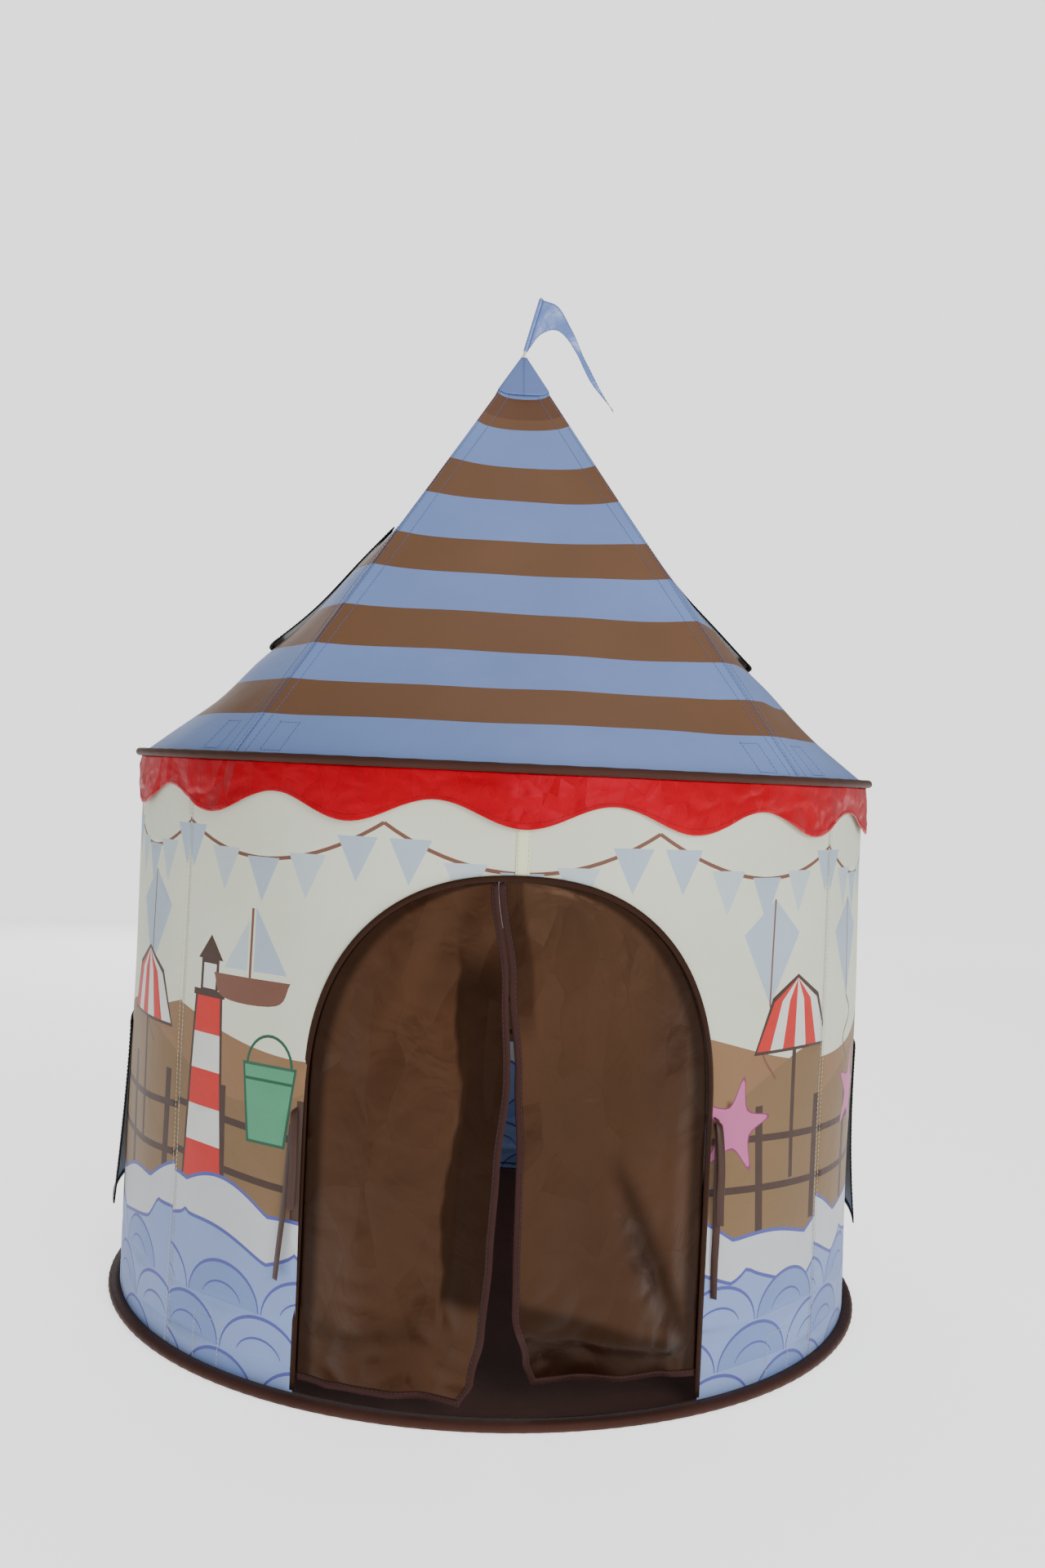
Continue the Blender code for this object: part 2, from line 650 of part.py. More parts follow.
def build_flag():
    """The leaning flag pole, and the pennant with the sleeve that holds it on the pole."""
    tip, lean = flag_axis()
    spin = pivot("flag_spin", tip)
    pole = rod("flag_pole", tip - lean * FLAG_POLE_DEPTH, tip + lean * FLAG_POLE_RISE,
               FLAG_POLE_RADIUS, FLAG_POLE_SIDES, "rod")
    hang_on(pole, spin)
    right = Vector((lean.z, 0, -lean.x))
    back = Vector((0, 1, 0))
    sleeve_radius = FLAG_POLE_RADIUS + GAP + CLOTH / 2
    open_turn = math.asin(min(1, (CLOTH + GAP) / sleeve_radius))
    root = sleeve_radius * math.cos(open_turn)

    def cloth_point(u, w):
        hoist = tip + lean * (HOIST_LOW + HOIST_LENGTH * w)
        if u <= 0:
            turn = (math.tau - open_turn) * -u
            return hoist + (right * math.cos(turn) + back * math.sin(turn)) * sleeve_radius
        edges = []
        for table, start in ((FLAG_LOWER_SHARES, HOIST_LOW), (FLAG_UPPER_SHARES, HOIST_LOW + HOIST_LENGTH)):
            steps = (len(table) - 1) * FLAG_COLUMNS
            points = smooth_through([Vector((x, 0, z)) for x, z in table], steps)
            edges.append(tip + lean * start + right * root + points[round(u * steps)] * FLAG_LENGTH)
        point = edges[0].lerp(edges[1], w)
        point.y += FLAG_WAVE * math.sin(u * math.tau) * u
        return point

    sleeve_stops = [-share for share in reversed(shares(FLAG_SLEEVE_STEPS)[1:])]
    stops = sleeve_stops + shares(FLAG_COLUMNS)[:-1] + [FLAG_TIP_SHARE]
    flag = sheet("flag", stops, shares(FLAG_ROWS), cloth_point, CLOTH, "flag")
    hang_on(flag, spin)


# Cloth


def build_floor():
    """The round floor sheet that the walls stand on."""
    bm = bmesh.new()
    bmesh.ops.create_circle(bm, cap_ends=True, segments=RING_FACETS, radius=WALL_RADIUS)
    grown = bmesh.ops.extrude_face_region(bm, geom=bm.faces[:])
    top = [v for v in grown["geom"] if isinstance(v, bmesh.types.BMVert)]
    bmesh.ops.translate(bm, vec=(0, 0, CLOTH), verts=top)
    bmesh.ops.recalc_face_normals(bm, faces=bm.faces[:])
    add_object("floor_sheet", mesh_from("floor_sheet", bm), "hem")


def arch_half_width(height, inset=0.0):
    """Half the doorway's width at a height: straight jambs under a rounded top."""
    half = DOOR_HALF_WIDTH - inset
    rise = DOOR_TOP_HEIGHT - inset - DOOR_SPRING_HEIGHT
    share = min(max((height - DOOR_SPRING_HEIGHT) / rise, 0), 1)
    return half * (1 - share ** DOOR_ROUNDING_POWER) ** (1 / DOOR_ROUNDING_POWER)


def arch_point(turn, inset=0.0):
    """Across and height of the arch's rounded part; turn 0 is the right jamb, pi the left."""
    half = DOOR_HALF_WIDTH - inset
    rise = DOOR_TOP_HEIGHT - inset - DOOR_SPRING_HEIGHT
    power = 2 / DOOR_ROUNDING_POWER
    across = math.copysign(abs(math.cos(turn)) ** power, math.cos(turn)) * half
    return across, DOOR_SPRING_HEIGHT + abs(math.sin(turn)) ** power * rise


def flat_cutter(name, outline, middle, depth):
    """A flat outline in the XZ plane, pushed through along Y."""
    curve = bpy.data.curves.new(name, "CURVE")
    curve.dimensions = "2D"
    curve.fill_mode = "BOTH"
    curve.extrude = depth / 2
    spline = curve.splines.new("POLY")
    spline.points.add(len(outline) - 1)
    for point, (across, height) in zip(spline.points, outline):
        point.co = (across, height, 0, 1.0)
    spline.use_cyclic_u = True
    shape = bpy.data.objects.new(name + "_outline", curve)
    cutters.objects.link(shape)
    shape.rotation_euler.x = math.pi / 2
    shape.location = middle
    bpy.context.view_layer.update()
    mesh = bpy.data.meshes.new_from_object(shape.evaluated_get(bpy.context.evaluated_depsgraph_get()))
    bm = bmesh.new()
    bm.from_mesh(mesh)
    bmesh.ops.remove_doubles(bm, verts=bm.verts[:], dist=MERGE)
    bmesh.ops.recalc_face_normals(bm, faces=bm.faces[:])
    bm.to_mesh(mesh)
    bm.free()
    cutter = as_guide(bpy.data.objects.new(name, mesh))
    cutter.matrix_world = shape.matrix_world
    cutters.objects.link(cutter)
    bpy.data.objects.remove(shape)
    return cutter


def build_walls():
    """Four wall panels: the front one with the doorway, the side ones with a window each."""
    half_gap = GAP / 2 / WALL_RADIUS
    for name, (middle, half) in WALL_PANELS.items():
        across = columns(middle - half + half_gap, middle + half - half_gap)
        rows = between(CLOTH + GAP, WALL_HEIGHT - GAP, WALL_ROWS)
        keep = None
        if name in SIDES:
            above = (WINDOW_HIGH + WALL_HEIGHT) / 2
            rows = [CLOTH + GAP, WINDOW_LOW, WINDOW_HIGH, above, WALL_HEIGHT - GAP]
            jamb = middle - (WINDOW_HALF_STEPS + UNIT / 2) * STEP
            low = next(i for i, azimuth in enumerate(across) if azimuth > jamb)

            def keep(i, j, low=low):
                return not (j == 1 and low <= i < low + 2 * WINDOW_HALF_STEPS)
        wall = sheet("wall_panel_" + name, across, rows,
                     lambda a, z: ring_point(a, WALL_MIDDLE_RADIUS, z), CLOTH, "wall", keep)
        if name == "front":
            outline = [arch_point(math.pi * share) for share in shares(PIPING_ARCH_STEPS)]
            outline = [(DOOR_HALF_WIDTH, -CUT_OVERRUN)] + outline + [(-DOOR_HALF_WIDTH, -CUT_OVERRUN)]
            doorway = flat_cutter("doorway", outline, (0, -WALL_RADIUS, 0), WALL_RADIUS)
            combine(wall, doorway, "DIFFERENCE")


def build_roof():
    """Four roof panels, the side ones with a vent each, and the cap over the tip."""
    for name, (middle, half) in PANELS.items():
        across = columns(middle - half, middle + half)
        runs = ROOF_RUNS
        keep = None
        if name in SIDES:
            beside = [run for run in runs if not VENT_TOP_SHARE - MERGE < run < VENT_FOOT_SHARE + MERGE]
            runs = sorted(beside + VENT_RUNS)
            top = runs.index(VENT_TOP_SHARE)
            side = middle - (VENT_HALF_STEPS + UNIT / 2) * STEP
            low = next(i for i, azimuth in enumerate(across) if azimuth > side)

            def keep(i, j, low=low, top=top):
                return not (top <= j < top + len(VENT_RUNS) - 1 and low <= i < low + 2 * VENT_HALF_STEPS)

        def cloth_point(azimuth, run, middle=middle, half=half):
            panel = (middle, half)
            point = roof_point(azimuth, run, 0.0, panel)
            edge = half - abs(azimuth - middle)
            if edge < STEP / 2:
                reach = math.hypot(point.x, point.y)
                setback = CLOTH * RIDGE_MITRE_SHARE + GAP
                inner = azimuth + math.copysign(setback / reach, middle - azimuth)
                point = roof_point(inner, run, 0.0, panel)
            return point
        sheet("roof_panel_" + name, across, runs, cloth_point, CLOTH, "roof", keep)

    cap_turns = []
    for middle, half in PANELS.values():
        cap_turns += [middle - half, middle - half / 2, middle, middle + half / 2]
    cap_turns = sorted(turn % math.tau for turn in cap_turns)
    cap_turns.append(cap_turns[0] + math.tau)
    cap_runs = between(CAP_TOP_SHARE, CAP_FOOT_SHARE, 2)

    def cap_point(azimuth, run):
        reach = roof_radius(azimuth, run)
        return polar(azimuth, reach, APEX_HEIGHT - ROOF_RISE * run + CAP_STAND_OFF)
    sheet("apex_cap", cap_turns, cap_runs, cap_point, CLOTH, "roof", closed=True)


def build_valance():
    """The scalloped red trim that hangs all round under the eave."""
    turns = [math.tau * share for share in shares(SCALLOP_COUNT * SCALLOP_COLUMN_COUNT)]
    beside_hoop = EAVE_HOOP_RADIUS - WALL_RADIUS - VALANCE_STAND_OFF - CLOTH / 2
    top = WALL_HEIGHT - math.sqrt(SLEEVE_OUTER ** 2 - beside_hoop ** 2) - GAP

    def cloth_point(turn, share):
        wave = math.cos(SCALLOP_COUNT * turn)
        low = WALL_HEIGHT - VALANCE_MEAN_DROP - SCALLOP_DEPTH * wave
        height = top + (low - top) * share
        reach = WALL_RADIUS + VALANCE_STAND_OFF + (VALANCE_FLARE + VALANCE_RIPPLE * wave) * share
        return polar(turn, reach, height)
    sheet("valance", turns, shares(VALANCE_ROWS), cloth_point, CLOTH, "red", closed=True)


def wall_front(across, lift):
    """A point's Y on the front wall at a place across, lifted outwards."""
    return -math.sqrt((WALL_MIDDLE_RADIUS + lift) ** 2 - across ** 2)


def build_door_trim():
    """Piping round the arch and the tape from the arch's top up to the eave."""
    lift = CLOTH / 2 + TRIM_GAP + PIPING_RADIUS
    low = SLEEVE_OUTER + SLEEVE_RADIUS + CLOTH + PIPING_RADIUS
    rows = between(low, DOOR_SPRING_HEIGHT, 2)[:-1]
    outline = [(DOOR_HALF_WIDTH + PIPING_OFFSET, z) for z in rows]
    outline += [arch_point(math.pi * share, -PIPING_OFFSET) for share in shares(PIPING_ARCH_STEPS)]
    outline += [(-x, z) for x, z in reversed(outline[:len(rows)])]
    points = [Vector((across, wall_front(across, lift), height)) for across, height in outline]
    wire("door_arch_piping", points, PIPING_RADIUS, "binding")
    tape_rows = [DOOR_TOP_HEIGHT + PIPING_OFFSET + PIPING_RADIUS + GAP, WALL_HEIGHT - SLEEVE_OUTER / 2]
    half = TAPE_WIDTH / 2 / WALL_RADIUS
    reach = WALL_RADIUS + GAP + TAPE_THICKNESS / 2
    sheet("door_top_tape", [-half, 0.0, half], tape_rows,
          lambda a, z: ring_point(a, reach, z), TAPE_THICKNESS, "tape")


def flap_rows(foot):
    """Heights of a flap's rows: even up the jamb, then by even turns round the arch."""
    last = math.acos(FLAP_TOP_WIDTH / DOOR_HALF_WIDTH + FLAP_TOP_SHARE)
    jamb = between(foot, DOOR_SPRING_HEIGHT, FLAP_STRAIGHT_ROWS)
    arch = [arch_point(last * share, DOOR_CLEARANCE)[1] for share in shares(FLAP_ARCH_ROWS)[1:]]
    return jamb + arch


def build_flap(side, foot, edge_shares, edge_shift):
    """One door flap in loose folds, and the tape that binds its free edge and its foot."""
    sign = SIDES[side]
    rows = flap_rows(foot)
    top = rows[-1]
    hinge = Vector((sign * (DOOR_HALF_WIDTH - DOOR_CLEARANCE), 0, 0))
    hinge.y = wall_front(hinge.x, 0.0)
    swing = pivot("door_" + side + "_swing", hinge)

    def free_edge(height):
        share = (height - foot) / (top - foot)
        return read_table(edge_shares, share) * DOOR_HALF_WIDTH + edge_shift

    def flap_point(u, height, inset=0.0):
        jamb = sign * arch_half_width(height, DOOR_CLEARANCE)
        edge = free_edge(height) + sign * inset
        across = jamb + (edge - jamb) * u
        width_share = abs(across - hinge.x) / DOOR_HALF_WIDTH
        depth_share = max(0.0, (top - height) / (top - foot))
        fold = sum((-1) ** k * math.exp(-((width_share - place) / FLAP_FOLD_WIDTH_SHARE) ** 2)
                   for k, place in enumerate(FLAP_FOLD_SHARES))
        push = FLAP_FOLD_DEPTH * fold * depth_share * min(1.0, width_share / FLAP_CALM_SHARE)
        push += FLAP_FLARE * width_share ** 2 * depth_share ** 3
        return Vector((across, wall_front(across, push), height))

    stops = shares(FLAP_COLUMNS)
    low = foot + FLAP_BINDING_WIDTH
    cloth_rows = [low + GAP] + [z for z in rows if z > low + FLAP_BINDING_WIDTH]
    cloth = sheet("door_flap_" + side, stops, cloth_rows,
                  lambda u, z: flap_point(u, z, FLAP_BINDING_WIDTH + GAP), CLOTH, "door")
    tape_rows = [foot, low] + [z for z in rows if z > low + FLAP_BINDING_WIDTH]

    def tape_point(u, z):
        if u > 1:
            return flap_point(1.0, z)
        return flap_point(u, z, FLAP_BINDING_WIDTH)
    tape = sheet("door_flap_binding_" + side, stops + [2.0], tape_rows, tape_point,
                 BINDING_THICKNESS, "mauve", lambda i, j: j == 0 or i == FLAP_COLUMNS)
    hang_on(cloth, swing)
    hang_on(tape, swing)


def build_ties():
    """Four ribbons that hang beside the doorway until they hold an opened flap."""
    for name, route in TIE_ROUTES.items():
        path = smooth_through([Vector(point) for point in route], TIE_STEPS)
        twist = math.radians(TIE_TWISTS[name])

        def ribbon_point(u, share, path=path, twist=twist):
            k = round(share * TIE_STEPS)
            near, far = path[max(k - 1, 0)], path[min(k + 1, TIE_STEPS)]
            way = (far - near).normalized()
            outward = Vector((path[k].x, path[k].y, 0)).normalized()
            flat = way.cross(outward).normalized()
            side = Matrix.Rotation(twist * share, 3, way) @ flat
            return path[k] + side * (u * TIE_WIDTH)
        sheet(name, [-UNIT / 2, UNIT / 2], shares(TIE_STEPS), ribbon_point, TIE_THICKNESS, "ribbon")


def framed(name, across, along, across_gap, along_gap, point_at, material):
    """A bound flap: a frame of tape, and the cloth that fills it up to a small gap."""
    wide, tall = len(across) - 1, len(along) - 1
    tape = sheet(name + "_binding", across, along, point_at, BINDING_THICKNESS, "binding",
                 lambda i, j: i in (0, wide - 1) or j in (0, tall - 1))
    inner_across = [across[1] + across_gap] + across[2:-2] + [across[-2] - across_gap]
    inner_along = [along[1] + along_gap] + along[2:-2] + [along[-2] - along_gap]
    cloth = sheet(name, inner_across, inner_along, point_at, CLOTH, material)
    return cloth, tape


def build_windows():
    """A net behind each side window, and the bound flap that hangs over it outside."""
    first_lift = CLOTH / 2 + GAP + BINDING_THICKNESS / 2
    flap_angle = WINDOW_FLAP_HALF_WIDTH / WALL_RADIUS
    tape_angle = WINDOW_FLAP_BINDING / WALL_RADIUS
    net_angle = WINDOW_HALF_STEPS * STEP + WINDOW_NET_OVERLAP / WALL_RADIUS
    net_reach = WALL_MIDDLE_RADIUS - CLOTH - GAP
    for side, sign in SIDES.items():
        middle = sign * math.pi / 2
        sheet("window_net_" + side, columns(middle - net_angle, middle + net_angle),
              between(WINDOW_LOW - WINDOW_NET_OVERLAP, WINDOW_HIGH + WINDOW_NET_OVERLAP, 1),
              lambda a, z: ring_point(a, net_reach, z), CLOTH, "net")
        hinge = polar(middle, WALL_MIDDLE_RADIUS + first_lift, WINDOW_FLAP_HIGH)
        swing = pivot("window_" + side + "_swing", hinge)

        def flap_point(azimuth, height):
            drop = (WINDOW_FLAP_HIGH - height) / (WINDOW_FLAP_HIGH - WINDOW_FLAP_LOW)
            lift = first_lift + WINDOW_FLAP_STAND_OFF * drop ** 2
            return ring_point(azimuth, WALL_MIDDLE_RADIUS + lift, height)
        inner = columns(middle - flap_angle + tape_angle, middle + flap_angle - tape_angle)
        across = [middle - flap_angle] + inner + [middle + flap_angle]
        rows = between(WINDOW_FLAP_LOW + WINDOW_FLAP_BINDING, WINDOW_FLAP_HIGH - WINDOW_FLAP_BINDING,
                       WINDOW_FLAP_ROWS)
        along = [WINDOW_FLAP_LOW] + rows + [WINDOW_FLAP_HIGH]
        gaps = (GAP / WALL_RADIUS, GAP)
        for body in framed("window_flap_" + side, across, along, *gaps, flap_point, "lining"):
            hang_on(body, swing)


def build_vents():
    """A net behind each roof vent, and the bound flap that lies over it on the roof."""
    first_lift = CLOTH / 2 + 2 * GAP + BINDING_THICKNESS / 2
    run_per_metre = 1 / math.hypot(ROOF_RISE, ROOF_RADIUS)
    for side, sign in SIDES.items():
        middle = sign * math.pi / 2
        panel = PANELS[side]
        margin = VENT_NET_MARGIN_SHARE
        net_runs = [VENT_TOP_SHARE - margin] + VENT_RUNS + [VENT_FOOT_SHARE + margin]
        net_turns = columns(middle - VENT_NET_HALF_ANGLE, middle + VENT_NET_HALF_ANGLE)
        sheet("vent_net_" + side, net_turns, net_runs,
              lambda a, t: roof_point(a, t, -CLOTH - 2 * GAP, panel), CLOTH, "net")

        def flap_point(azimuth, run, panel=panel, middle=middle):
            drop = (run - VENT_FLAP_TOP_SHARE) / (VENT_FLAP_FOOT_SHARE - VENT_FLAP_TOP_SHARE)
            side_share = (azimuth - middle) / VENT_FLAP_HALF_ANGLE
            lift = first_lift + VENT_FLAP_STAND_OFF * drop ** 2 + VENT_CORNER_LIFT * side_share ** 2
            return roof_point(azimuth, run, lift, panel)
        hinge = flap_point(middle, VENT_FLAP_TOP_SHARE)
        swing = pivot("vent_" + side + "_swing", hinge)
        tape_run = VENT_BINDING_WIDTH * run_per_metre
        top_reach = roof_radius(middle, VENT_FLAP_TOP_SHARE, panel)
        tape_angle = VENT_BINDING_WIDTH / (top_reach + ROOF_RADIUS * VENT_FLAP_FOOT_SHARE) * 2
        inner_half = VENT_FLAP_HALF_ANGLE - tape_angle
        inner = columns(middle - inner_half, middle + inner_half)
        across = [middle - VENT_FLAP_HALF_ANGLE] + inner + [middle + VENT_FLAP_HALF_ANGLE]
        rows = between(VENT_FLAP_TOP_SHARE + tape_run, VENT_FLAP_FOOT_SHARE - tape_run, VENT_FLAP_ROWS)
        along = [VENT_FLAP_TOP_SHARE] + rows + [VENT_FLAP_FOOT_SHARE]
        gaps = (GAP / top_reach, GAP * run_per_metre)
        for body in framed("vent_flap_" + side, across, along, *gaps, flap_point, "roof"):
            hang_on(body, swing)


build_floor()
build_hoops()
roof_top, roof_way = ridge_lines()
corner_empties = {name: build_corner(name, azimuth, roof_top, roof_way) for name, azimuth in CORNERS.items()}
build_hub(roof_top, roof_way, corner_empties)
build_walls()
build_roof()
build_valance()
build_door_trim()
build_flap("left", LEFT_FLAP_FOOT, LEFT_EDGE_SHARES, -FLAP_EDGE_GAP / 2)
build_flap("right", RIGHT_FLAP_FOOT, RIGHT_EDGE_SHARES, FLAP_EDGE_GAP / 2)
build_ties()
build_windows()
build_vents()
build_flag()
bpy.context.view_layer.update()
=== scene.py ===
"""Looks of a child's round play tent: its cloths, print, trim, frame finishes, camera and light.

Lengths are in metres in the CAD model's frame. The origin is the middle of the floor, +Z is up and
the doorway faces -Y. An azimuth is measured from the doorway towards +X.
"""
from __future__ import annotations

import logging
import math
from collections.abc import Callable, Sequence
from dataclasses import dataclass, field
from enum import Enum
from typing import Any

import bmesh
import bpy
import numpy as np
from mathutils import Matrix, Vector
from mathutils.geometry import delaunay_2d_cdt

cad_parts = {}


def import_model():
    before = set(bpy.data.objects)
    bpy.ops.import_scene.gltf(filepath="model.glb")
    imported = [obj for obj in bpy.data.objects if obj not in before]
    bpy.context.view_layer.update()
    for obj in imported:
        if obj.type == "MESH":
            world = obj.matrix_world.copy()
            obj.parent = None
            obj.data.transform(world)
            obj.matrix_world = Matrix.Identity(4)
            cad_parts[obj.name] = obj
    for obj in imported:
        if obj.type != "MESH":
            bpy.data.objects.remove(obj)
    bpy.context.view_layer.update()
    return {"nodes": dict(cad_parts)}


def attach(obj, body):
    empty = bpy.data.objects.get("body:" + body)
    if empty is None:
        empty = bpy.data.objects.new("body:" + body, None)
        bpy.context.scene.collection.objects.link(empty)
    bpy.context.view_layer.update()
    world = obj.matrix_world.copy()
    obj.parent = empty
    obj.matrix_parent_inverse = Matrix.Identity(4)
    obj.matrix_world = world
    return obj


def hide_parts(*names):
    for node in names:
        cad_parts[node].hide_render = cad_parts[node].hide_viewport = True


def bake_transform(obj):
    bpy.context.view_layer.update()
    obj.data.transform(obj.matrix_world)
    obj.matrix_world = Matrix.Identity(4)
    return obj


LOG = logging.getLogger("play_tent")

Array = np.ndarray
Flat = tuple[float, float]
Shape = tuple[str, list[Flat]]
Place = Callable[[Array, Array], Array]
Lifted = Callable[[Array, Array, Any], Array]
Section = Sequence[tuple[float, float]]

# Every cloth is drawn 0.6 mm thick, where the real one is about 0.1 mm, so that its edges show.
CLOTH = 0.0006
WALL_CENTRE_RADIUS = 0.513
# Printed panels are netted every 9 mm, close enough for a printed line to stay smooth.
PRINT_NET = 0.009
# How much earlier on its run a stripe ends beside a ridge, where the cloth is drawn up.
STRIPE_RISE = 0.013
# Stitches and tapes lie this far off the cloth's middle, so that they rest on its face.
THREAD_LIFT = 0.0005
# Rows of stitches run 1.5 mm inside a tape's inner edge, and 0.2 mm off its face.
STITCH_INSET, STITCH_LIFT = 0.0015, 0.0002


# Nodes and materials


def linear(code: str) -> tuple[float, float, float, float]:
    """Turn an sRGB hex colour into linear values.

    Args:
        code: The colour as "#RRGGBB".

    Returns:
        Linear red, green and blue, and full alpha.
    """
    parts = [int(code[i:i + 2], 16) / 255 for i in (1, 3, 5)]
    red, green, blue = (c / 12.92 if c <= 0.04045 else ((c + 0.055) / 1.055) ** 2.4 for c in parts)
    return red, green, blue, 1.0


def add_node(
        tree: bpy.types.NodeTree, kind: str, options: dict[str, Any] | None = None,
        inputs: dict[Any, Any] | None = None) -> bpy.types.Node:
    """Add a node with its settings and links.

    Args:
        tree: The tree that the node goes into.
        kind: The node's type.
        options: Settings on the node itself.
        inputs: Fixed values, or sockets to link from, by input socket.

    Returns:
        The new node.
    """
    node = tree.nodes.new(kind)
    for name, value in (options or {}).items():
        setattr(node, name, value)
    for socket, value in (inputs or {}).items():
        if isinstance(value, bpy.types.NodeSocket):
            tree.links.new(value, node.inputs[socket])
        else:
            node.inputs[socket].default_value = value
    return node


def new_material(name: str) -> tuple[bpy.types.Material, bpy.types.NodeTree, bpy.types.Node]:
    """A new material with its node tree and its shader."""
    material = bpy.data.materials.new(name)
    material.use_nodes = True
    return material, material.node_tree, material.node_tree.nodes["Principled BSDF"]


class Dye(Enum):
    """How a cloth gets its colour."""

    PLAIN = "plain"
    STRIPED = "striped"
    PRINTED = "printed"


@dataclass(frozen=True)
class Cloth:
    """A woven cloth: its dye, thread, sheen and small creases.

    The real threads are about 0.1 to 0.3 mm apart. They are drawn 0.6 to 1.8 mm apart, as coarse
    as they need to be to show at the picture's scale.
    """

    name: str
    colour: str
    shade: str
    dye: Dye = Dye.PLAIN
    thread: float = 0.0016
    thread_height: float = 0.00004
    crease_scale: float = 26.0
    crease_height: float = 0.002
    roughness: float = 0.6
    sheen: float = 0.04
    specular: float = 0.3
    tint: str = "#FFFFFF"
    patchiness: float = 0.55
    facet_size: float = 0.04
    facet_slope: float = 0.0
    # Colour and gloss loss where the cloth lies double, and where shade is painted into its folds.
    doubled_and_painted_shade: str | None = None
    doubled_and_painted_shade_gloss_loss: float = 0.85
    mottle_scale: float = 5.0
    roughness_spread: float = 0.06
    sheen_roughness: float = 0.4
    stripes: tuple[tuple[float, str], ...] = ()

    def material(self) -> bpy.types.Material:
        """Build the material on the piece's flat UV map, which is in metres.

        Returns:
            The material, made once and then found by its name.
        """
        found = bpy.data.materials.get(self.name)
        if found:
            return found
        material, tree, shader = new_material(self.name)
        where = add_node(tree, "ShaderNodeTexCoord")
        mottle = add_node(
            tree, "ShaderNodeTexNoise",
            inputs={"Scale": self.mottle_scale, "Detail": 5.0, "Vector": where.outputs["Object"]})
        ramp = add_node(
            tree, "ShaderNodeMapRange",
            inputs={
                "From Min": 0.3, "From Max": 0.7, "To Max": self.patchiness,
                "Value": mottle.outputs[0]})
        toned = add_node(
            tree, "ShaderNodeMix", {"data_type": "RGBA", "blend_type": "MULTIPLY"},
            {6: linear(self.colour), 7: linear(self.shade), 0: ramp.outputs[0]})
        if self.dye is not Dye.PLAIN:
            tree.links.new(self._dyed(tree), toned.inputs[6])
        shown = toned.outputs[2]
        # Darken and dull the cloth where it lies double, and where shade is painted into its folds.
        if self.doubled_and_painted_shade:
            layers = add_node(tree, "ShaderNodeAttribute", {"attribute_name": "layers"})
            shown = add_node(
                tree, "ShaderNodeMix", {"data_type": "RGBA"},
                {7: linear(self.doubled_and_painted_shade), 0: layers.outputs["Fac"], 6: shown}).outputs[2]
            gloss = add_node(
                tree, "ShaderNodeMath", {"operation": "MULTIPLY_ADD"},
                {
                    1: -self.doubled_and_painted_shade_gloss_loss * self.specular, 2: self.specular,
                    0: layers.outputs["Fac"]})
            tree.links.new(gloss.outputs[0], shader.inputs["Specular IOR Level"])
        tree.links.new(shown, shader.inputs["Base Color"])
        height = self._weave(tree)
        creases = add_node(
            tree, "ShaderNodeTexNoise",
            inputs={
                "Scale": self.crease_scale, "Detail": 3.0, "Distortion": 0.6,
                "Vector": where.outputs["Object"]})
        soft = add_node(
            tree, "ShaderNodeBump",
            inputs={"Strength": 0.6, "Distance": self.crease_height, "Height": creases.outputs[0]})
        if self.facet_slope:
            soft = add_node(
                tree, "ShaderNodeBump",
                inputs={
                    "Strength": 1.0, "Distance": self.facet_slope,
                    "Height": self._facets(tree, where.outputs["Object"]), "Normal": soft.outputs[0]
                })
        fine = add_node(
            tree, "ShaderNodeBump",
            inputs={
                "Strength": 0.5, "Distance": self.thread_height, "Height": height,
                "Normal": soft.outputs[0]})
        tree.links.new(fine.outputs[0], shader.inputs["Normal"])
        rough = add_node(
            tree, "ShaderNodeMapRange",
            inputs={
                "To Min": self.roughness - self.roughness_spread,
                "To Max": self.roughness + self.roughness_spread, "Value": mottle.outputs[0]})
        tree.links.new(rough.outputs[0], shader.inputs["Roughness"])
        shader.inputs["Specular IOR Level"].default_value = self.specular
        shader.inputs["Specular Tint"].default_value = linear(self.tint)
        shader.inputs["Sheen Weight"].default_value = self.sheen
        shader.inputs["Sheen Roughness"].default_value = self.sheen_roughness
        return material

    def _dyed(self, tree: bpy.types.NodeTree) -> bpy.types.NodeSocket:
        """Lay down the cloth's print or stripes.

        Args:
            tree: The material's tree.

        Returns:
            The socket that carries the colour before mottling.
        """
        if self.dye is Dye.PRINTED:
            return add_node(
                tree, "ShaderNodeAttribute", {"attribute_name": "print"}).outputs["Color"]
        run = add_node(tree, "ShaderNodeAttribute", {"attribute_name": "run"})
        ramp = add_node(tree, "ShaderNodeValToRGB", inputs={"Fac": run.outputs["Fac"]})
        ramp.color_ramp.interpolation = "CONSTANT"
        stops = ramp.color_ramp.elements
        stops[0].color = linear(self.colour)
        stops.remove(stops[1])
        for start, colour in self.stripes:
            stops.new(start).color = linear(colour)
        return ramp.outputs["Color"]

